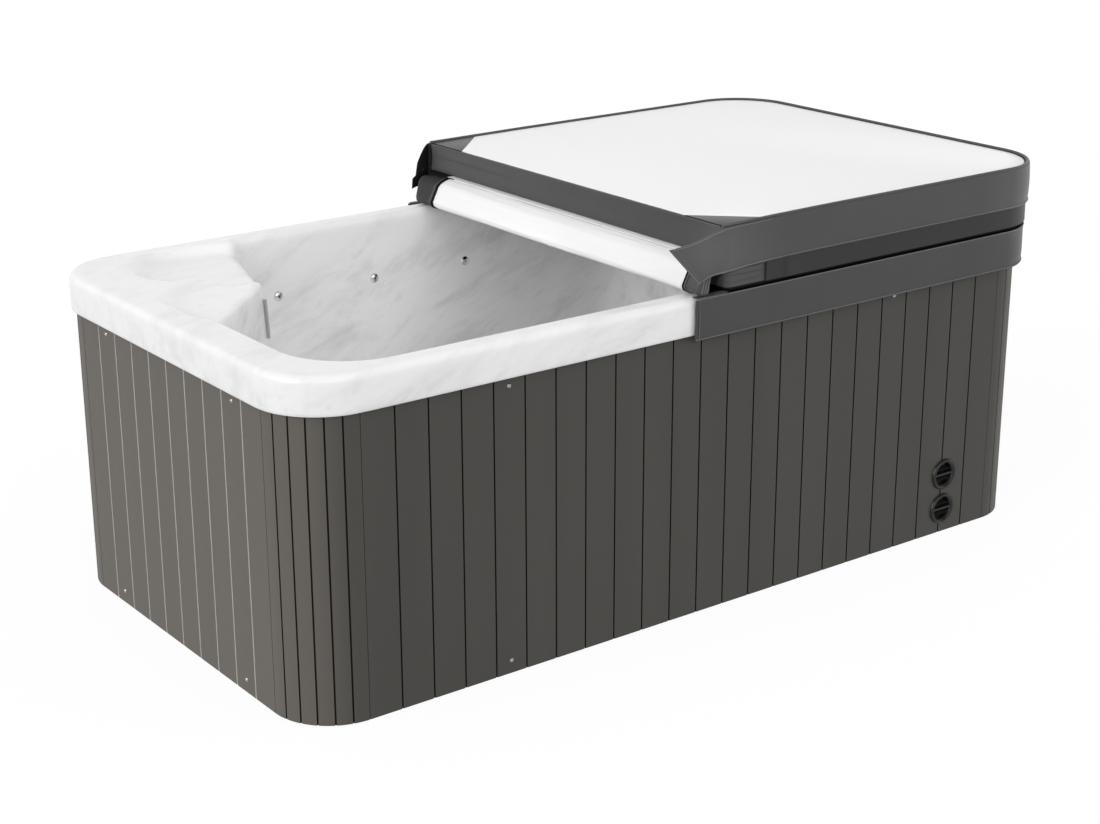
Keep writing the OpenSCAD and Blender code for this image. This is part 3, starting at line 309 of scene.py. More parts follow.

# %% [markdown]
# The cabinet's boards are foamed plastic with an embossed upright grain in a warm dark grey. Noise that is
# stretched along Z gives the grain, and a broad, weak noise changes the tone from board to board. The faces
# that look towards the ends of the tub are painted a paler grey: painted light.

# %% Cabinet boards
boards = new_material("embossed cabinet boards", (0.118, 0.114, 0.104), 0.52, Specular_IOR_Level=0.22)
tone = add(boards, "TexNoise", {"Vector": place(boards, (11, 11, 0.4))}, Scale=1.0, Detail=1.0)
long_tone = blend_colours(boards, tone.outputs["Fac"], (0.0535, 0.0512, 0.0465), (0.0660, 0.0630, 0.0575))
# Painted light: the paler grey of the faces that look towards the tub's ends.
painted_light_end_tone = blend_colours(boards, tone.outputs["Fac"], (0.1035, 0.0942, 0.0820), (0.1187, 0.1086, 0.0948))
facing = add(boards, "SeparateXYZ", {"Vector": add(boards, "NewGeometry").outputs["Normal"]})
to_end = add(boards, "Math", {0: facing.outputs["X"]}, operation="ABSOLUTE")
share = ramp(boards, to_end.outputs[0], 0.08, 0.8, 0.0, 1.0)
both = add(boards, "Mix", {0: share, 6: long_tone, 7: painted_light_end_tone}, data_type="RGBA")
to_shader(boards, "Base Color", both.outputs[2])
grainy(boards, 1.0, 0.35, 0.0006, 6, (420, 420, 16), 0.05)

# %% [markdown]
# The cover is marine vinyl over foam: charcoal, a soft sheen, and a fine leather grain of small cells.
# Voronoi cells give that grain. A slow noise adds the faint cloudiness of a skin that has been handled.

# %% Cover vinyl
def vinyl_of(name, colour, cell, gloss=0.32, sheen=0.05):
    mat = new_material(name, colour, 0.44, Specular_IOR_Level=gloss, Sheen_Weight=sheen)
    cloud = add(mat, "TexNoise", {"Vector": place(mat)}, Scale=7.0, Detail=3.0)
    dark, light = ([c * k for c in colour] for k in (0.87, 1.13))
    to_shader(mat, "Base Color", blend_colours(mat, cloud.outputs["Fac"], dark, light))
    cells = add(mat, "TexVoronoi", {"Vector": place(mat)}, Scale=cell)
    bump(mat, cells.outputs["Distance"], 0.3, 0.0004)
    return mat


vinyl = vinyl_of("charcoal vinyl", (0.049, 0.049, 0.0504), 700.0, sheen=0.1)
# A darker copy of the charcoal vinyl for the lower skirt and its tuck: painted shade under the folded half.
painted_shade_skirt = vinyl_of("vinyl skirt in painted shade", (0.044, 0.044, 0.0454), 700.0)
# The binding is paler than the vinyl: partly its own tone, partly painted highlight along the piped edges.
binding = vinyl_of("vinyl binding", (0.064, 0.064, 0.0655), 900.0)
# Near-black vinyl, painted shade: it goes where the cover lies in shade, in the fold, in slits and seams and
# under the slabs' edges.
painted_shade_black = vinyl_of("near-black vinyl for painted shade", (0.006, 0.006, 0.006), 700.0, 0.05, 0.0)
# A still darker copy for the lower half's side band and the far seal cap: painted shade.
painted_shade_sleeve = vinyl_of("vinyl sleeve in painted shade", (0.022, 0.022, 0.023), 700.0, 0.25, 0.0)
thread = finish("stitching thread", (0.13, 0.13, 0.132), 0.6, 2200.0, 0.3)

# %% [markdown]
# White cloth-backed film lines the cover's underside, and the same film, thinner, wraps the heat seal
# roll, where it lies in fine lengthwise creases.

# %% White film
liner_film = finish("white vapour film", (0.90, 0.90, 0.90), 0.4, 260.0, 0.15, 0.0004, Specular_IOR_Level=0.3)
roll_film = new_material("creased white film", (0.77, 0.77, 0.77), 0.42, Specular_IOR_Level=0.3)
creases = add(roll_film, "TexNoise", {"Vector": place(roll_film, (240, 5, 240))}, Scale=1.0, Detail=3.0)
bump(roll_film, creases.outputs["Fac"], 0.3, 0.0010)

# %% [markdown]
# The small rigid parts need plain finishes with a little life: brushed and polished metal, satin and
# glossy plastics, planed softwood, enamel and powder coat. Each has grain in bump and in roughness.

# %% Finishes of the rigid parts
chrome = finish("polished chrome", (0.78, 0.78, 0.79), 0.1, 120.0, 0.02, spread=0.04, Metallic=1.0)
stainless = finish("stainless steel", (0.68, 0.68, 0.67), 0.28, 500.0, 0.08, spread=0.08, Metallic=1.0)
screw_steel = finish("screw steel", (0.30, 0.30, 0.295), 0.2, 300.0, 0.05, spread=0.06, Metallic=1.0)
vent_black = finish("satin black plastic", (0.010, 0.010, 0.010), 0.3, 900.0, 0.15, Specular_IOR_Level=0.3)
white_plastic = finish("white fitting plastic", (0.76, 0.76, 0.75), 0.3, 400.0, 0.05)
grey_plastic = finish("grey control plastic", (0.36, 0.38, 0.4), 0.4, 700.0, 0.12)
lens_clear = finish("clear lens", (0.86, 0.93, 0.98), 0.08, 90.0, 0.03, 0.0004, spread=0.03,
                    Transmission_Weight=0.85, IOR=1.45)
strip_grey = finish("frosted light strip", (0.40, 0.40, 0.40), 0.35, 600.0, 0.08)
pleats = finish("pleated filter cloth", (0.78, 0.82, 0.85), 0.85, 800.0, 0.3, 0.0004)
pump_black = finish("glass filled plastic", (0.035, 0.037, 0.04), 0.5, 1100.0, 0.3, 0.0003)
motor_enamel = finish("dark blue enamel", (0.04, 0.06, 0.10), 0.35, 300.0, 0.12, 0.0003, Coat_Weight=0.3)
box_coat = finish("grey powder coat", (0.10, 0.105, 0.11), 0.55, 1400.0, 0.3, 0.0003)
pipe_white = finish("pressure pipe", (0.78, 0.78, 0.76), 0.38, 200.0, 0.06)
pan_black = finish("floor pan", (0.03, 0.03, 0.03), 0.6, 500.0, 0.3, 0.0005)

timber = new_material("planed softwood", (0.55, 0.38, 0.21), 0.6)
rings = add(timber, "TexNoise", {"Vector": place(timber, (1.2, 1.2, 9))}, Scale=6.0, Detail=5.0,
            Distortion=1.2)
early_wood, late_wood = (0.62, 0.45, 0.27), (0.40, 0.25, 0.12)
to_shader(timber, "Base Color", blend_colours(timber, rings.outputs["Fac"], early_wood, late_wood))
bump(timber, rings.outputs["Fac"], 0.15, 0.0005)

# %% Dress the rigid parts
finishes = {
    boards: ["front_panel", "back_panel", "low_end_panel", "bay_end_panel", "front_low_corner",
             "back_low_corner", "front_bay_corner", "back_bay_corner"],
    timber: ["lower_frame", "frame_posts", "upper_frame", "shell_cradle"],
    chrome: ["wall_jets", "back_jet_bodies", "back_jet_face_1", "back_jet_face_2"],
    stainless: ["heater_tube"], screw_steel: ["panel_screws"],
    vent_black: ["upper_vent", "lower_vent", "keypad_bezel"],
    white_plastic: ["suction_covers", "floor_drain", "lamp_housing", "air_valve", "diverter_valve",
                    "filter_housing", "filter_lid", "air_blower"],
    grey_plastic: [f"keypad_button_{i}" for i in range(1, 5)] + ["air_knob", "diverter_knob"],
    pipe_white: ["suction_pipe", "pressure_pipe", "return_pipe", "air_pipe"],
    lens_clear: ["lamp_lens"], strip_grey: ["nose_lamp"], pleats: ["filter_cartridge"],
    pump_black: ["pump_wet_end"], motor_enamel: ["pump_motor"], box_coat: ["control_box"],
    pan_black: ["base_pan"],
}
for material, names in finishes.items():
    for name in names:
        dress(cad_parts[name], material)
        smooth(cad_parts[name], 30)

# %% [markdown]
# The grooves between the boards are moulded in one with them, so their faces belong to the panels. They are
# picked by their place, just behind the panels' faces, and get painted light and shade instead of the boards'
# colour: near-black painted shade on the long sides, the bay end and the low corners, and a pale painted
# highlight on the low end, where its lamp falls into them.

# %% Grooves between the boards
# Painted shade and painted highlight for the grooves' faces.
painted_shade_groove = finish("groove in painted shade", (0.008, 0.008, 0.007), 0.7, 900.0, 0.1, Specular_IOR_Level=0.1)
painted_light_groove = finish("groove with painted highlight", (0.62, 0.61, 0.58), 0.6, 900.0, 0.1,
                     Specular_IOR_Level=0.2)
SIDE_GROOVE, END_GROOVE, CORNER_GROOVE = (0.5635, 0.56645), (1.0890, 1.09195), (0.1430, 0.1456)
CORNER_AT = (0.946, 0.4205)


def within(value, span):
    return span[0] < value < span[1]


def painted_shade_corner(c, n):
    """The low corners' grooves get the near-black painted shade; those of the bay corners keep the boards'
    own tone
    """
    return c.x < 0 and within(math.hypot(abs(c.x) - CORNER_AT[0], abs(c.y) - CORNER_AT[1]), CORNER_GROOVE)


for names, material, test in (
        (("front_panel", "back_panel"), painted_shade_groove, lambda c, n: within(abs(c.y), SIDE_GROOVE)),
        (("low_end_panel",), painted_light_groove, lambda c, n: within(abs(c.x), END_GROOVE)),
        (("bay_end_panel",), painted_shade_groove, lambda c, n: within(abs(c.x), END_GROOVE)),
        (finishes[boards][4:], painted_shade_groove, painted_shade_corner)):
    for name in names:
        repaint(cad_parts[name], test, material)
print("rigid parts dressed:", sum(len(v) for v in finishes.values()))

# %% [markdown]
# The shell is one moulding: rim with a rolled lip, deck with two headrest troughs and a control tray, well
# with seats and a footwell, and the same again underneath at the wall's thickness. It is lofted from its
# outlines, finer than the solid for construction, and a subdivision rounds every bend as a mould does.

# %% Outlines of the shell
HALF_L, HALF_W, TOP, RIM_R, WALL = 1105.0, 579.5, 780.0, 159.0, 7.0
X0, X1, WELL_Y, NOSE_X, HEAD_X = -996.0, 600.0, 515.5, -750.0, -655.0
RECESS_Y, NOSE_Y, SEAT, FOOT, FOOT_X0, FOOT_X1 = -60.0, 165.0, 360.0, 130.0, -155.0, 545.0


def seats_line(y, xn, xm, xf, yf):
    if y < RECESS_Y:
        return xn
    if y < NOSE_Y:
        return mix(xn, xm, (y - RECESS_Y) / (NOSE_Y - RECESS_Y))
    return mix(xm, xf, (min(y, yf) - NOSE_Y) / (yf - NOSE_Y))


def seats_x(y, *xs):
    reach = [-24, -16, -8, 0, 8, 16, 24]
    return sum(seats_line(y + r, *xs) for r in reach) / len(reach)


def arc(cx, cy, r, a0, a1, n):
    return [(cx + r * math.cos(math.radians(a)), cy + r * math.sin(math.radians(a)))
            for a in steps(a0, a1, n)]


def well_outline(xn, xm, xf, xr, y, r1, r2, r3):
    o = [(x, -y) for x in steps(xr - r3, xn + r1, 14)]
    o += arc(xn + r1, r1 - y, r1, 270, 180, 9)
    o += [(seats_x(v, xn, xm, xf, y - r2), v) for v in steps(r1 - y, y - r2, 46)]
    o += arc(xf + r2, y - r2, r2, 180, 90, 7)
    o += [(x, y) for x in steps(xf + r2, xr - r3, 12)]
    o += arc(xr - r3, y - r3, r3, 90, 0, 7)
    o += [(xr, v) for v in steps(y - r3, r3 - y, 9)]
    return o + arc(xr - r3, r3 - y, r3, 0, -90, 7)


def scoop(x, y, cx, cy, heading, reach, half, depth, power=2.4):
    """A headrest's hollow: an oval, flat inside, with a soft border; it opens through the well's edge"""
    ux, uy = math.cos(math.radians(heading)), math.sin(math.radians(heading))
    out = max(0.0, (x - cx) * ux + (y - cy) * uy) / reach
    side = abs((y - cy) * ux - (x - cx) * uy) / half
    return depth * ease(clamp((1.0 - (out ** power + side ** power) ** (1 / power)) / 0.17))


def dip(x, y):
    if x > HEAD_X + 80 or y < -140:
        return 0.0
    return scoop(x, y, -700, 338, 157, 280, 178, 27) + scoop(x, y, -873, 50, 132.4, 180, 173, 17)


def tray(x, y):
    return 12 * (clamp((x - X1 + 120) / 120) * clamp((WELL_Y - abs(y)) / 40))


def at_z(outline, z, follow=False):
    """A ring at height z; the rings of the deck and the wall's top follow the hollows and the tray"""
    return [(x, y, z - (dip(x, y) + tray(x, y) if follow else 0)) for x, y in outline]


# %% Rings of the shell
EDGE = (X0, NOSE_X, HEAD_X, X1, WELL_Y, 170, 50, 120)
WALL_FOOT = (X0 + 56, NOSE_X + 12, HEAD_X + 55, X1 - 15, WELL_Y - 15, 160, 62, 120)
DECK_IN = (X0 - 15, NOSE_X - 15, HEAD_X - 15, X1 + 15, WELL_Y + 15, 170, 60, 120)
DECK_OUT = (-1020, -1020, -1020, 1035, 536.5, 178, 144, 94)
BORDER = (-1025, -1025, -1025, 1040, 541.5, 184, 150, 100)
RIM = (-HALF_L, -HALF_L, -HALF_L, HALF_L, HALF_W, RIM_R, RIM_R, RIM_R)


def grown(lengths, d):
    """The outline with these lengths, d further out all round"""
    return well_outline(*[v - d for v in lengths[:3]], *[v + d for v in lengths[3:]])


def between(one, two, k):
    return [mix(v, w, k) for v, w in zip(one, two)]


def wall(d, k):
    return grown(between(WALL_FOOT, EDGE, k), d)


def seats(d, i):
    return grown((X0 + 90 + i, NOSE_X + 20 + i, HEAD_X + 85 + i, X1 - 25 - 0.25 * i, WELL_Y - 30 - 0.25 * i,
                  150, 74, 115), d)


def foot(d, i):
    return grown((FOOT_X0 + i,) * 3 + (FOOT_X1 - 0.4 * i, WELL_Y - 60 - 0.4 * i, 110, 110, 105), d)


def deck(k, d):
    return grown(between(DECK_IN, DECK_OUT, k), d)


def stack(outline, d, table):
    """A ring at every height z of the table, d further out than outline(0, i)"""
    return [at_z(outline(d, i), z) for i, z in table]


LIP, BEND = 87, 19
footwell = ((200, FOOT), (42, FOOT), (20, FOOT + 4), (8, FOOT + 20), (4, FOOT + 45), (-4, SEAT - 110),
            (-10, SEAT - 38), (-16, SEAT - 18), (-26, SEAT - 6), (-48, SEAT))
benches = ((60, SEAT + 11), (36, SEAT + 15), (16, SEAT + 24), (5, SEAT + 40), (0, SEAT + 66))
walls = ((0, SEAT + 150), (0.33, SEAT + 234), (0.66, SEAT + 318))
inside = stack(foot, 0, footwell) + stack(seats, 0, benches) + stack(wall, 0, walls) + [
    at_z(wall(0, 0.93), TOP - 34, True), at_z(wall(0, 1), TOP - 16, True),
    at_z(grown(EDGE, 4), TOP - 5, True), at_z(deck(0, 0), TOP, True)]
deck_rings = [at_z(deck(k, 0), TOP, True)
              for k in (0.05, 0.12, 0.2, 0.28, 0.36, 0.44, 0.52, 0.6, 0.68, 0.76, 0.84, 0.92, 1)]
over_rim = [at_z(grown(BORDER, 0), TOP), at_z(grown(BORDER, 8), TOP)]
over_rim += [at_z(grown(RIM, BEND * math.sin(a) - BEND), TOP - BEND + BEND * math.cos(a))
             for a in map(math.radians, (0, 22, 45, 68, 90))]
lip = [at_z(grown(RIM, -d), TOP - down)
       for d, down in ((0, 50), (0, LIP - 3), (1, LIP), (6, LIP), (7, LIP - 3), (7, 20), (16, WALL))]
under = [at_z(grown(BORDER, 7), TOP - WALL)]
under += [at_z(deck(k, 7), TOP - WALL, True) for k in (1, 0.75, 0.5, 0.25)] + [
    at_z(grown(EDGE, 17), TOP - WALL, True), at_z(wall(7, 1), TOP - 18, True), at_z(wall(7, 0), SEAT + 150)]
under += stack(seats, 7, ((0, SEAT + 62), (12, SEAT + 20), (46, SEAT + 7)))
under += stack(foot, 7, ((-46, SEAT - 7), (-14, SEAT - 38), (4, FOOT + 40), (14, FOOT + 2)))
under += stack(foot, 0, ((46, FOOT - WALL), (200, FOOT - WALL)))
shell = loft("shell", inside + deck_rings + over_rim + lip + under, (195, 0, FOOT), (195, 0, FOOT - WALL))
subdivide(shell)

# %% [markdown]
# The fittings pass through the wall, so the shell is bored where they stand. All the drills are cylinders
# at the fittings' own places and slopes, joined into one cutter, so that one Boolean does the work.

# %% Bore the shell
def drill(x, y, z, tilt, radius):
    bpy.ops.mesh.primitive_cylinder_add(vertices=40, radius=radius * MM, depth=0.06,
                                        location=Vector((x, y, z)) * MM, rotation=tilt)
    return bpy.context.object


WALL_H = TOP - 15 - SEAT - 150
side_y = mix(WELL_Y - 15, WELL_Y, (618 - 510) / WALL_H)
side_tilt, back_tilt = math.atan(15 / WALL_H), math.atan(56 / WALL_H)
drills = [drill(x, s * side_y, 618, (math.pi / 2 + s * side_tilt, 0, 0), 7.0)
          for x in (-524, -238, 48, 334) for s in (1, -1)]
drills += [drill(mix(X0 + 56, X0, 65 / WALL_H), y, 575, (0, math.pi / 2 - back_tilt, 0), 32.0)
           for y in (-280, -150)]
drills += [drill(545.3, s * 200, 225, (0, math.radians(92.2), 0), 28.0) for s in (1, -1)]
drills += [drill(mix(X1 - 15, X1, 90 / WALL_H), 0, 600, (0, math.pi / 2 + side_tilt, 0), 32.0),
           drill(435, 0, FOOT, (0, 0, 0), 19.0), drill(705, -330, 768, (0, 0, 0), 13.0),
           drill(705, -220, 768, (0, 0, 0), 13.0), drill(835, 290, 768, (0, 0, 0), 78.0)]
bpy.ops.mesh.primitive_cube_add(size=1, location=(0.705, 0, 0.768), scale=(0.064, 0.15, 0.06))
drills.append(bpy.context.object)
pick(*drills)
bpy.ops.object.join()
cutter = bpy.context.object
cut = shell.modifiers.new("bores", "BOOLEAN")
cut.object, cut.operation, cut.solver = cutter, "DIFFERENCE", "EXACT"
apply_all(shell)
bpy.data.objects.remove(cutter)
smooth(shell, 50)
settle(shell, "moulded_shell", acrylic, "tub", ["tub_shell"])

# %% [markdown]
# Each half of the cover is a foam slab in a vinyl sleeve: square corners at the fold, big round corners at
# the far end, rounded edges, and sides that pull in a little between the seams. A cube is scaled to the
# slab, its upright edges and then its rims are bevelled, and the sides are drawn in by moving loops.

# %% Padded halves
PAD_END, PAD_HALF, PAD_CORNER = 1.1105, 0.588, 0.168
LOOP_IN, CUTS, CUT_STEP = 0.018, 24, 0.0464
SHADE_TOP, FOLD_FACE = 0.7905, 0.0125


def pick_edges(obj, test):
    bpy.ops.object.mode_set(mode="OBJECT")
    for group in (obj.data.vertices, obj.data.edges, obj.data.polygons):
        for item in group:
            item.select = False
    for e in obj.data.edges:
        a, b = (obj.matrix_world @ obj.data.vertices[i].co for i in e.vertices)
        e.select = test(a, b)
    bpy.ops.object.mode_set(mode="EDIT")


def drop(x, y):
    """How far the folded half's worn foam has sunk, most at the fold and away from the camera"""
    return 0.0035 + 0.0020 * y / PAD_HALF + 0.0020 * clamp(1 - x / 0.3)


def crown_share(x, y):
    """1 in the middle of the raised field of the folded half's face, 0 outside it"""
    return clamp((0.50 - abs(y)) / 0.16) * clamp(min(x - 0.09, 0.70 - x) / 0.16)


def slab(x0, z0, z1, crown, half_y, corner, rim_round, sunk=False):
    pad = box((x0, -half_y, z0), (PAD_END, half_y, z1))
    bpy.ops.object.mode_set(mode="EDIT")
    bpy.ops.mesh.select_mode(type="EDGE")
    upright = lambda a, b: abs(a.z - b.z) > 0.03 and abs(a.x - b.x) < 1e-4
    pick_edges(pad, lambda a, b: upright(a, b) and a.x > 1)
    bpy.ops.mesh.bevel(offset=PAD_CORNER, segments=16, affect="EDGES")
    pick_edges(pad, lambda a, b: upright(a, b) and a.x < x0 + 0.01)
    bpy.ops.mesh.bevel(offset=corner, segments=6, affect="EDGES")
    pick_edges(pad, lambda a, b: abs(a.z - b.z) < 1e-4)
    bpy.ops.mesh.bevel(offset=rim_round, segments=4, affect="EDGES")
    bpy.ops.object.mode_set(mode="OBJECT")
    mid, half = (z0 + z1) / 2, (z1 - z0) / 2
    for z in (mid, z0 + LOOP_IN, z1 - LOOP_IN):
        edit_all(pad, bpy.ops.mesh.bisect, plane_co=(0, 0, z), plane_no=(0, 0, 1))
    for i in range(1, CUTS):
        edit_all(pad, bpy.ops.mesh.bisect, plane_co=(i * CUT_STEP, 0, 0), plane_no=(1, 0, 0))
        edit_all(pad, bpy.ops.mesh.bisect, plane_co=(0, half_y * (i - 12) / 12, 0), plane_no=(0, 1, 0))
    for v in pad.data.vertices:
        p = pad.matrix_world @ v.co
        draw = 0.0022 * max(0.0, 1 - ((p.z - mid) / half) ** 2)
        ripple = 0.0008 * noise.noise(p * 9)
        if abs(p.z - mid) < half - 0.008:
            out = Vector((1 if p.x > 0.95 else (-1 if p.x < x0 + 0.01 else 0), 0, 0))
            if abs(p.y) > half_y - 0.17 and (p.x < 0.95 or abs(p.y) > half_y - 0.05):
                out.y = math.copysign(1, p.y) if abs(p.y) > half_y - 0.02 else 0
            p -= out * draw
        rise = crown_share(p.x, p.y)
        if p.z > mid:
            p.z += crown * ease(rise) + ripple * (p.z > z1 - 0.002) * rise
        if sunk:
            p.z -= drop(p.x, p.y) * max(0.0, (p.z - z0) / (z1 - z0))
        v.co = pad.matrix_world.inverted() @ p
    smooth(pad, 40)
    return pad


lower_half = slab(0.012, 0.7803, 0.8583, crown=0.0, half_y=0.5855, corner=0.020, rim_round=0.010)
settle(lower_half, "lower_half", vinyl, BASE, ["lower_cover_pad"])
# The slab's lower rounding and its end face at the fold get near-black vinyl: painted shade.
repaint(lower_half, lambda c, n: c.z < SHADE_TOP or c.x < FOLD_FACE, painted_shade_black)
upper_half = slab(-0.004, 0.8607, 0.9371, crown=0.003, half_y=PAD_HALF, corner=0.012, rim_round=0.004,
                  sunk=True)
settle(upper_half, "upper_half", vinyl, FOLDED, ["upper_cover_pad"])

# %% [markdown]
# Skirts hang from the seams of both halves and hide the joint with the rim. Each is one strip of vinyl,
# hemmed below. A plane is cut into a grid, laid along the edge of the cover and shaped by soft waves,
# then thickened. Cloth simulation would barely move such a short stiff strip, so the waves are set in code.

# %% Edge of the cover as a path
SKIRT_WALL = 0.0022


def cover_path(gap, start, end, step=0.012):
    """Points [x, y, outward normal x, y] from the near fold corner round the far end and back"""
    x1, y1, r = 1.105 + gap, 0.5795 + gap, 0.159 + gap

    def corner(cy, a0, a1):
        return [(x1 - r + r * math.cos(a), cy + r * math.sin(a), math.cos(a), math.sin(a))
                for a in steps(a0, a1, 22)]

    path = [(x, -y1, 0, -1) for x in steps(start, x1 - r, int((x1 - r - start) / step))]
    path += corner(r - y1, -math.pi / 2, 0)
    path += [(x1, y, 1, 0) for y in steps(r - y1, y1 - r, int((2 * y1 - 2 * r) / step))]
    path += corner(y1 - r, 0, math.pi / 2)
    return path + [(x, y1, 0, 1) for x in steps(x1 - r, end, int((x1 - r - end) / step))] + [(end, y1, 0, 1)]


def strip(name, columns, rows, point, thick):
    """A grid laid by point(i, t), i counting columns and t running 0 to 1 from its top to its hem"""
    pick()
    bpy.ops.mesh.primitive_grid_add(x_subdivisions=columns - 1, y_subdivisions=rows - 1, size=1)
    cloth = bpy.context.object
    for v in cloth.data.vertices:
        v.co = point(round((v.co.x + 0.5) * (columns - 1)), 0.5 - v.co.y)
    edit_all(cloth, bpy.ops.mesh.flip_normals)
    thicken(cloth, thick)
    smooth(cloth, 50)
    return cloth


def hem(t, height):
    """How far the hem stands out: a turned edge 6 mm deep"""
    return 0.0008 if (1 - t) * height < 0.0062 else 0.0


# %% Lower skirt
low_path = cover_path(0.003, -0.076, -0.076)
LOW_TOP, LOW_H, LOW_BULGE = 0.7775, 0.0960, 0.0020


def low_point(i, t):
    x, y, nx, ny = low_path[i]
    wave = 0.0016 * noise.noise(Vector((x * 5, y * 5, 0.3))) * arch(min(1, t * 1.3))
    out = 0.0004 + 0.0032 * math.exp(-t * 9) + LOW_BULGE * arch(t)
    out = out + wave + hem(t, LOW_H) + 0.0010 * t
    return (x + nx * out, y + ny * out, LOW_TOP - LOW_H * t)


lower_skirt = strip("lower_skirt", len(low_path), 29, low_point, SKIRT_WALL)
# The lower skirt takes the darker skirt vinyl: painted shade.
settle(lower_skirt, "lower_skirt", painted_shade_skirt, BASE, ["lower_cover_skirt"])

# %% [markdown]
# The real skirt is sewn to the slab through a tape that lies on the tub's rim, and that tape closes the slit
# between them. It is a narrow strip here too, laid nearly level from under the slab to the skirt's top edge.

# %% Seam tape
TAPE_IN, TAPE_OUT, TAPE_TOP = -0.026, 0.0034, 0.7811
tape_path = [p for p in low_path if p[0] > 0.018]


def tape_point(i, t):
    x, y, nx, ny = tape_path[i]
    out = mix(TAPE_IN, TAPE_OUT, t)
    return (x + nx * out, y + ny * out, mix(TAPE_TOP, LOW_TOP, t * t))


tape = strip("skirt_tape", len(tape_path), 7, tape_point, 0.0010)
# The tape is near-black vinyl: painted shade in the slit between slab and skirt.
settle(tape, "skirt_tape", painted_shade_black, BASE)

# %% [markdown]
# The upper skirt is inside out, because its half is folded over: it falls back over the slab from the top
# edge. Past the fold it is free, so its near end curls outward like a dog's ear, with a slanting front
# edge and a soft bend at the slab's corner. The far end is a short stub that leans back.

# %% Upper skirt
UP_TOP, UP_H, FOLD_X = 0.9385, 0.098, -0.004
up_path = cover_path(0.0105, FOLD_X, FOLD_X)
EAR, STUB = 34, 12
EAR_CUT, STUB_CUT, INWARD = 0.19, 0.05, -0.11
EAR_TOP, EAR_LOW, EAR_SWELL = Vector((-0.1702, 0.9106)), Vector((-0.0843, 0.8201)), 0.0078


def up_point(i, t):
    """Columns run over the free ear, then round the cover's edge, then over the far stub"""
    corner = UP_TOP - drop(0, 0.59 * (-1 if i < EAR else 1))
    if i < EAR:
        u = i / EAR
        p = EAR_TOP.lerp(Vector((FOLD_X, corner)), u).lerp(
            EAR_LOW.lerp(Vector((FOLD_X, corner - UP_H - 0.005)), u), t)
        edge_hem = 0.0012 if u < 0.1 else (-0.0005 if u < 0.14 else 0.0)
        flare = EAR_SWELL * math.exp(-((FOLD_X - p.x) / 0.021) ** 2) + (0.010 + 0.003 * t) * (1 - u) ** 0.7
        sag = 0.007 * arch(u) * (1 - t) - 0.004 * arch(u) * t
        return (p.x, up_path[0][1] - flare - max(hem(t, UP_H), edge_hem), p.y - sag)
    j = i - EAR
    if j >= len(up_path):
        u = (j - len(up_path) + 1) / STUB
        front = mix(-0.034, -0.042, t / 0.6) if t < 0.6 else mix(-0.051, -0.053, (t - 0.6) / 0.4)
        x = mix(FOLD_X, front, u)
        z = mix(corner - UP_H * t, mix(0.879, 0.812, t), u ** (1 + (1 - t)))
        return (x, up_path[-1][1] + 0.012 * u * u + hem(t, UP_H), z)
    x, y, nx, ny = up_path[j]
    wave = 0.002 * noise.noise(Vector((x * 4, y * 4, 0.9))) * arch(min(1, t * 1.2))
    out = wave + hem(t, UP_H) + 0.0028 * arch(t)
    if y < 0:
        out += EAR_SWELL * max(0.0, 1 - (x - FOLD_X) / 0.24) ** 2
    z = UP_TOP - drop(x, y) - (UP_H + 0.005 * max(0.0, 1 - x / 0.2) ** 2) * t
    return (x + nx * out, y + ny * out, z)


upper_skirt = strip("upper_skirt", EAR + len(up_path) + STUB, 29, up_point, SKIRT_WALL)
settle(upper_skirt, "upper_skirt", vinyl, "skirt_top", ["upper_cover_skirt"])
# The inner faces of the skirt's free ends get near-black vinyl: painted shade.
repaint(upper_skirt, lambda c, n: c.x < -0.006 and n.y * c.y < INWARD, painted_shade_black)

# %% [markdown]
# The heat seal is a roll of foam in white film that closes the gap under the fold. It bulges forward from
# the lower half, fullest near its foot, and a dark vinyl cap with a piped seam closes each end. It is
# lofted across the tub, with small lengthwise creases.

# %% Heat seal roll
SEAL_BACK, SEAL_FLOOR = -4.4, 780.35


def seal_ring(y, k, wrinkle, back=0.0):
    """The roll's outline at y, k times its full size: brow, back and foot"""
    z0, h, w = 780.4, 78.0, 68.0
    zm = 0.27 * h
    ring = []
    for i in range(25):
        a = math.pi / 2 * i / 24
        lean = math.cos(a) ** 0.9 - 0.07 * math.sin(min(4 * a, math.pi)) - 0.03 * math.sin(2 * a)
        ring.append((SEAL_BACK - back - (w * k - back) * lean, z0 + zm + (h - zm) * k * math.sin(a)))
    for i in range(1, 6):
        fall = zm + (h - zm) * k - zm * (1 - k)
        ring.append((SEAL_BACK - back, z0 + zm + (h - zm) * k - fall * i / 6))
    for i in range(13):
        a = math.pi / 2 * (1 - i / 12)
        ring.append((SEAL_BACK - back - (w * k - back) * math.cos(a) ** 0.55,
                     z0 + zm - zm * k * math.sin(a) ** 0.7))
    out = []
    for i, (x, z) in enumerate(ring):
        crease = wrinkle * noise.noise(Vector((i * 0.9, y * 0.006, 2.0)))
        away = Vector((x + 30, 0, z - 812)).normalized() * (crease if x < -6 else 0)
        out.append((x + away.x, y, max(SEAL_FLOOR, z + away.z)))
    return out


near_end, far_end = -533.0, 480.0
stations = [-1, -0.997, -0.985, -0.965] + steps(-0.94, 0.94, 40) + [0.94, 0.965, 0.985, 0.997, 1]
sizes = {0: 0.9, 1: 0.95, 2: 0.985, len(stations) - 3: 0.985, len(stations) - 2: 0.95, len(stations) - 1: 0.9}
roll = loft("roll", [seal_ring(mix(near_end, far_end, (s + 1) / 2), sizes.get(i, 1.0), 1.6)
                     for i, s in enumerate(stations)], (-35, near_end, 815), (-35, far_end, 815))
subdivide(roll)
smooth(roll, 60)
settle(roll, "heat_seal", roll_film, BASE, ["heat_seal_roll"])


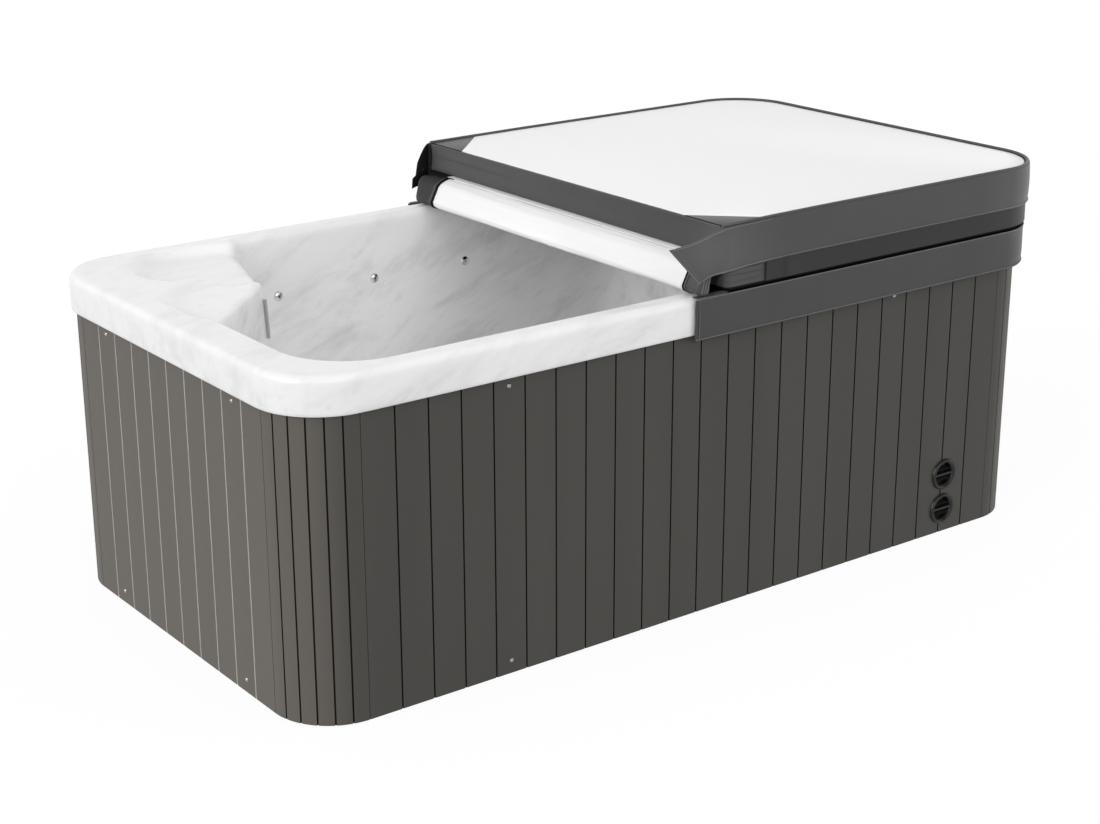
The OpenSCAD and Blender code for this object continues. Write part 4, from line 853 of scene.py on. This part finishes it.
def squeeze(piece):
    """Give the piece a mesh of its own"""
    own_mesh(piece)


squeeze(roll)
SIDES = ((-1, "near"), (1, "far"))


def end_cap(side, first, last):
    """A cap from first to last along the roll; its end draws back under the fold"""
    shape = [(0, 0.9, 0), (0.025, 0.99, 0), (0.1, 1.0, 0), (0.16, 0.97, 0), (0.25, 0.965, 4),
             (0.48, 0.97, 10), (0.7, 0.965, 18), (0.85, 0.955, 26), (0.95, 0.93, 32), (1, 0.86, 36)]
    ys = [mix(first, last, s) for s, k, back in shape]
    rings = [seal_ring(side * y, k, 0.8, back) for y, (s, k, back) in zip(ys, shape)]
    cap = loft("cap", rings, (-35, side * ys[0], 815), (-35, side * ys[-1], 815))
    subdivide(cap)
    smooth(cap, 60)
    return cap


for side, word in SIDES:
    ends = (534.3, 583.5) if side < 0 else (481.3, 566.0)
    # The far cap takes the darker sleeve vinyl: painted shade.
    cap = settle(end_cap(side, *ends), f"seal_cap_{word}", vinyl if side < 0 else painted_shade_sleeve, BASE,
                 ["heat_seal_ends"])
    squeeze(cap)

# %% [markdown]
# White film lines the folded half. Its corners at the fold are cut off, and dark vinyl triangles take the
# wear there. The film is an inset of the slab's top, slightly crowned, and a thin binding runs round it.

# %% Liner and corner patches
LEG, INSET = 140.0, 9.0


def liner_outline(d, leg):
    """The folded half's outline, d inside its edge, with both corners at the fold cut off by leg"""
    x0, x1, y, r = -4 + d, 1110.5 - d, 588 - d, 168 - d
    near = [(mix(x0 + leg, x0, i / 4), mix(-y, leg - y, i / 4)) for i in range(5)]
    far = [(mix(x0, x0 + leg, i / 4), mix(y - leg, y, i / 4)) for i in range(5)]
    fold_side = [(x0, v) for v in steps(leg - y, y - leg, 24)][1:]
    long_far = [(x, y) for x in steps(x0 + leg, x1 - r, 20)][1:]
    end = arc(x1 - r, y - r, r, 90, 0, 12) + [(x1, v) for v in steps(y - r, r - y, 20)]
    end += arc(x1 - r, r - y, r, 0, -90, 12) + [(x, -y) for x in steps(x1 - r, x0 + leg, 20)]
    return near + fold_side + far + long_far + end


def sunk_by(x, y):
    return drop(x * MM, y * MM) / MM


def film_ring(share, z):
    """One ring of the film, share of the way from its middle to its edge, in millimetres"""
    ring = []
    for x, y in liner_outline(INSET, LEG - INSET):
        p = Vector((500.0, 0.0)).lerp(Vector((x, y)), share)
        crown = 3.0 * ease(crown_share(p.x * MM, p.y * MM))
        ripple = 0.25 * noise.noise(Vector((p.x, p.y, 0)) * 0.02)
        ring.append((p.x, p.y, z - sunk_by(p.x, p.y) + crown + ripple))
    return ring


shares = (0.08, 0.2, 0.3, 0.4, 0.5, 0.6, 0.7, 0.8, 0.88, 0.94, 0.98)
film = loft("film", [film_ring(s, 937.5) for s in shares + (1.0,)] + [film_ring(1.0, 938.5)]
            + [film_ring(s, 939.0) for s in (0.9985,) + shares[::-1]],
            (500, 0, 940.5 - sunk_by(500, 0)), (500, 0, 942.0 - sunk_by(500, 0)))
smooth(film, 50)
settle(film, "white_liner", liner_film, FOLDED, ["cover_liner"])

pick()
for side, word in SIDES:
    bpy.ops.mesh.primitive_circle_add(vertices=3, radius=1, fill_type="NGON")
    patch = bpy.context.object
    for v, (x, y) in zip(patch.data.vertices, ((5, 579), (5, 589 - LEG), (LEG - 5, 579))):
        v.co = Vector((x, side * y, 938.2 - sunk_by(x, side * y))) * MM
    thicken(patch, 0.0012)
    round_edges(patch, 0.0004)
    edit_all(patch, bpy.ops.mesh.normals_make_consistent, inside=False)
    smooth(patch, 40)
    settle(patch, f"corner_patch_{word}", vinyl, FOLDED, ["corner_patches"])

# %% [markdown]
# Piping is a cord sewn into a seam. It runs round the top edge of the folded half, along the two edges of
# the fold and round the heat seal's caps. A curve with a round section follows each seam, and is then
# made a mesh, so that it takes the vinyl's grain like the rest.

# %% Piping and seams
def piping(name, points, radius, material, body, closed=False):
    curve = bpy.data.curves.new(name, "CURVE")
    curve.dimensions, curve.bevel_depth, curve.bevel_resolution = "3D", radius, 2
    curve.use_fill_caps = not closed
    spline = curve.splines.new("POLY")
    spline.points.add(len(points) - 1)
    for knot, p in zip(spline.points, points):
        knot.co = (*p, 1)
    spline.use_cyclic_u = closed
    seam = bpy.data.objects.new(name, curve)
    bpy.context.collection.objects.link(seam)
    pick(seam)
    bpy.ops.object.convert(target="MESH")
    smooth(bpy.context.object, 60)
    return settle(bpy.context.object, name, material, body)


top_edge = [(x - nx * 0.0035, y - ny * 0.0035, 0.9402 - drop(x, y))
            for x, y, nx, ny in cover_path(0.0095, -0.002, -0.002)]
piping("top_edge_piping", top_edge, 0.0042, binding, FOLDED)
fold_edge = [(-0.0035, y, 0.9370 - drop(0, y)) for y in steps(-0.580, 0.580, 40)]
piping("fold_edge_piping", fold_edge, 0.0022, binding, FOLDED)
crease = [(0.0008 - 0.0026 * arch(min(1, (y - 0.1) / 0.3) / 2), y, 0.9010 + 0.0016 * math.sin(y * 14))
          for y in steps(0.1, 0.575, 40)]
piping("fold_face_seam", crease, 0.0022, vinyl, FOLDED)


def hem_line(point, columns, height, normals):
    """A stitch 3 mm above the hem, half sunk in the skirt's outer face"""
    line = [point(i, 1 - 0.0030 / height) for i in range(columns)]
    return [(x + n[0] * 0.0015, y + n[1] * 0.0015, z) for (x, y, z), n in zip(line, normals)]


low_hem = hem_line(low_point, len(low_path), LOW_H, [p[2:] for p in low_path])
piping("lower_hem_stitch", low_hem, 0.0011, thread, BASE)
# A pale cord along the lower skirt's top edge: painted highlight where the edge catches the light.
piping("skirt_top_painted_highlight", [low_point(i, 0) for i in range(len(low_path))], 0.0014, thread, BASE)
for side, word in SIDES:
    end_edge = [(-0.066, side * (0.5864 + LOW_BULGE * arch(k / 12)), LOW_TOP - 0.002 - 0.0078 * k)
                for k in range(13)]
    piping(f"skirt_end_stitch_{word}", end_edge, 0.0007, thread, BASE)
up_hem = hem_line(up_point, EAR + len(up_path), UP_H, [(0, -1)] * EAR + [p[2:] for p in up_path])
# A pale stitch round the ear's top and front edges: partly the real stitching, partly painted highlight along
# the edge.
ear_edge = [up_point(i, 0.03) for i in range(EAR + 12, 0, -1)] + [up_point(0.6, k / 12) for k in range(1, 13)]
piping("ear_stitch", [(x, y - 0.0014, z) for x, y, z in ear_edge], 0.0009, thread, "skirt_top")
piping("upper_hem_stitch", up_hem, 0.0011, thread, "skirt_top")
for side, word in SIDES:
    # The cap's piping is near-black vinyl: painted shade in the seam.
    cap_seams = (("piping", (-533.8, 480.8), 0.995, 0.0019, painted_shade_black),
                 ("hem", (-540.5, 488.5), 0.985, 0.0022, binding))
    for kind, (near_y, far_y), size, radius, material in cap_seams:
        y = near_y if side < 0 else far_y
        ring = [Vector(p) * MM for p in seal_ring(y, size, 0.0)]
        squeeze(piping(f"seal_{kind}_{word}", ring, radius, material, BASE, True))
    for k, z in enumerate((0.8005, 0.8150, 0.8295)):
        ridge = [(0.0125 + 0.020 * (1 - math.sin(a)), side * (0.5848 - 0.020 + 0.020 * math.cos(a)), z)
                 for a in steps(math.pi / 2, 0, 10)]
        ridge += [(x, side * 0.5848, z) for x in steps(0.034, 0.128, 12)]
        piping(f"side_ridge_{word}_{k}", ridge, 0.0014, binding, BASE)
    # The seam beside each corner patch is near-black vinyl: painted shade.
    seam = [(0.0030, side * y, 0.9380 - drop(0, side * y)) for y in (0.449, 0.490, 0.535, 0.578)]
    piping(f"patch_seam_{word}", seam, 0.0011, painted_shade_black, FOLDED)
    for k, x in enumerate((-0.042, -0.050, -0.058)):
        end = 0.5822 if side < 0 else 0.5648
        upright = [(x + 0.0010 * i, side * (end + 0.0016 * arch(i / 12)), 0.787 + 0.0046 * i)
                   for i in range(13)]
        squeeze(piping(f"cap_ridge_{word}_{k}", upright, 0.0014, thread, BASE))

# %% [markdown]
# The sleeve of the lower half has a second layer round its sides, which ends in an upright edge a hand's
# width from the fold. It is a thin band, so it is made like the skirts.

# %% Side band of the lower half
band_path = cover_path(0.0078, 0.131, 0.131, 0.006)
BAND_H = 0.0670


def band_point(i, t):
    x, y, nx, ny = band_path[i]
    wave = 0.0012 * noise.noise(Vector((x * 6, y * 6, 4.2))) * arch(t)
    if ny < -0.5:
        wave += 0.0020 * math.exp(-((x - 0.194) / (0.007 if x < 0.194 else 0.03)) ** 2)
    return (x + nx * wave, y + ny * wave, 0.8565 - BAND_H * t)


band = strip("band", len(band_path), 9, band_point, 0.0016)
# The side band takes the darker sleeve vinyl: painted shade.
settle(band, "side_band", painted_shade_sleeve, BASE)

# %% [markdown]
# The two halves hang together by a doubled vinyl web. When the cover is folded, it shows as a lip between
# the slabs, given near-black vinyl as painted shade. Each leaf is a bar with its edges rounded, and the bead
# of the fold lies in front.

# %% Fold web
WEB_HALF = 0.57


def leaf(name, lo, hi, material, body, node=()):
    web = box(lo, hi)
    round_edges(web, 0.0003)
    smooth(web, 40)
    return settle(web, name, material, body, node)


# Both leaves are near-black vinyl: painted shade.
leaf("lower_web", (-0.0205, -WEB_HALF, 0.8586), (0.040, WEB_HALF, 0.8593), painted_shade_black, BASE,
     node=["lower_hinge_web"])
leaf("upper_web", (-0.0196, -WEB_HALF, 0.8597), (0.040, WEB_HALF, 0.8604), painted_shade_black, FOLDED,
     node=["upper_hinge_web"])
leaf("web_film", (-0.0200, near_end * MM, 0.8605), (-0.0010, far_end * MM, 0.8612), roll_film, FOLDED)
for side, word in SIDES:
    # The skirt's tuck on the rim takes the darker skirt vinyl: painted shade.
    lo, hi = sorted((side * 0.586, side * 0.567))
    leaf(f"skirt_tuck_{word}", (-0.073, lo, 0.7803), (0.020, hi, 0.7814), painted_shade_skirt, BASE)
    # A near-black sheet on the rim under each end of the fold: painted shadow.
    lo, hi = sorted((side * 0.5675, side * 0.500))
    leaf(f"painted_fold_shadow_{word}", (-0.040, lo, 0.7803), (0.0360, hi, 0.7812), painted_shade_black, BASE)
# The bead's two ends are near-black vinyl: painted shade.
beads = (("near", -WEB_HALF, near_end * MM, painted_shade_black), ("film", near_end * MM, far_end * MM, roll_film),
         ("far", far_end * MM, WEB_HALF, painted_shade_black))
for name, first, last, cover in beads:
    bead = [(-0.022, y, 0.8595) for y in steps(first, last, 30)]
    piping(f"fold_bead_{name}", bead, 0.0016, cover, BASE)

# %% [markdown]
# The tub stands on a pale floor in soft light, as in a catalogue picture: a bright sky all round, and three
# broad suns, the strongest from the low end, so that the long side lies in half shade. Two soft lamps light
# the well, and two small spots give the vinyl its glints. The floor shows white to the camera and in
# reflections, but keeps the tub's shadow.

# %% Floor
FLOOR_SEEN, FLOOR_GLOW, SKY_LIGHT = 0.8, 1.16, 0.59
pick()
bpy.ops.mesh.primitive_plane_add(size=40, location=(0, 0, -0.0006))
floor = bpy.context.object
floor.name = "floor"
floor_white = new_material("pale floor", (0.40, 0.40, 0.40), 0.9)
floor.data.materials.append(floor_white)
tree = floor_white.node_tree
ray = add(floor_white, "LightPath").outputs
seen = either(floor_white, ray["Is Camera Ray"], ray["Is Glossy Ray"])
seen = either(floor_white, seen, ray["Is Transmission Ray"])
part_white = add(floor_white, "Math", {0: seen}, operation="MULTIPLY")
part_white.inputs[1].default_value = FLOOR_SEEN
glow = add(floor_white, "Emission", Strength=FLOOR_GLOW)
glow.inputs["Color"].default_value = (1, 1, 1, 1)
both = add(floor_white, "MixShader", {0: part_white.outputs[0], 1: tree.nodes["Principled BSDF"].outputs[0],
                                     2: glow.outputs[0]})
tree.links.new(both.outputs[0], tree.nodes["Material Output"].inputs["Surface"])

# %% Sky
world = bpy.data.worlds.new("studio")
bpy.context.scene.world = world
world.use_nodes = True
sky = world.node_tree.nodes["Background"]
sky.inputs["Color"].default_value = (1, 1, 1, 1)
paths = add(world, "LightPath").outputs
direct = either(world, paths["Is Camera Ray"], paths["Is Transmission Ray"])
height = add(world, "SeparateXYZ", {"Vector": add(world, "TexCoord").outputs["Generated"]})
mirrored = ramp(world, height.outputs["Z"], 0.35, 0.8, 1.0, 0.35)
lit = add(world, "Mix", {"Factor": paths["Is Glossy Ray"], "B": mirrored}, A=SKY_LIGHT)
strength = add(world, "Mix", {"Factor": direct, "A": lit.outputs[0]}, B=1.0)
world.node_tree.links.new(strength.outputs[0], sky.inputs["Strength"])


# %% Lamps
def lamp(name, kind, direction, energy, at=(0, 0, 0), **values):
    data = bpy.data.lights.new(name, kind)
    data.energy = energy
    for key, value in values.items():
        setattr(data, key, value)
    light = bpy.data.objects.new(name, data)
    light.location = at
    bpy.context.collection.objects.link(light)
    light.visible_glossy = name in ("window side", "camera side")
    light.rotation_euler = Vector(direction).to_track_quat("-Z", "Y").to_euler()
    return light


lamp("window side", "SUN", (0.82, 0.10, -0.32), 1.70, angle=math.radians(40))
lamp("camera side", "SUN", (0.10, 0.80, -0.50), 0.5, angle=math.radians(40))
lamp("right side", "SUN", (-0.75, 0.55, -0.12), 1.25, angle=math.radians(30))
lamp("over the well", "AREA", (0.12, 0.40, -0.90), 2.0, (-0.62, -0.15, 2.2), shape="RECTANGLE", size=1.3,
     size_y=0.8)
in_well = lamp("in the well", "AREA", (0.25, 0.35, -0.90), 0.85, (-0.34, -0.15, 0.72), shape="RECTANGLE",
               size=0.45, size_y=0.2)
in_well.visible_camera = False
spots = (("glint on the fold", (-1.60, -1.60, 1.30), (-0.022, -0.60, 0.885), 180.0, 5.0),
         ("glint on the corner", (2.00, -2.60, 1.30), (1.05, -0.53, 0.88), 120.0, 11.0))
for name, start, aim, energy, cone in spots:
    lamp(name, "SPOT", Vector(aim) - Vector(start), energy, start, spot_size=math.radians(cone),
         spot_blend=1.0, shadow_soft_size=0.05)

# %% [markdown]
# The camera stands where the photograph was taken from, and its axes are built from three angles.

# %% Camera
LENS, SENSOR, CAMERA_AT = 68.05, 36.0, (-3.004, -3.963, 2.056)
yaw, pitch, roll_angle = (math.radians(a) for a in (36.738, 19.057, -0.159))
ahead = Vector((math.sin(yaw) * math.cos(pitch), math.cos(yaw) * math.cos(pitch), -math.sin(pitch)))
right = Vector((math.cos(yaw), -math.sin(yaw), 0))
up = right.cross(ahead)
right, up = (right * math.cos(roll_angle) + up * math.sin(roll_angle),
             up * math.cos(roll_angle) - right * math.sin(roll_angle))
camera = bpy.data.objects.new("camera", bpy.data.cameras.new("camera"))
bpy.context.collection.objects.link(camera)
camera.data.sensor_width, camera.data.lens = SENSOR, LENS
turn = Matrix((right, up, -ahead)).transposed().to_4x4()
camera.matrix_world = Matrix.Translation(CAMERA_AT) @ turn
bpy.context.scene.camera = camera
bpy.context.scene.view_settings.view_transform = "Standard"
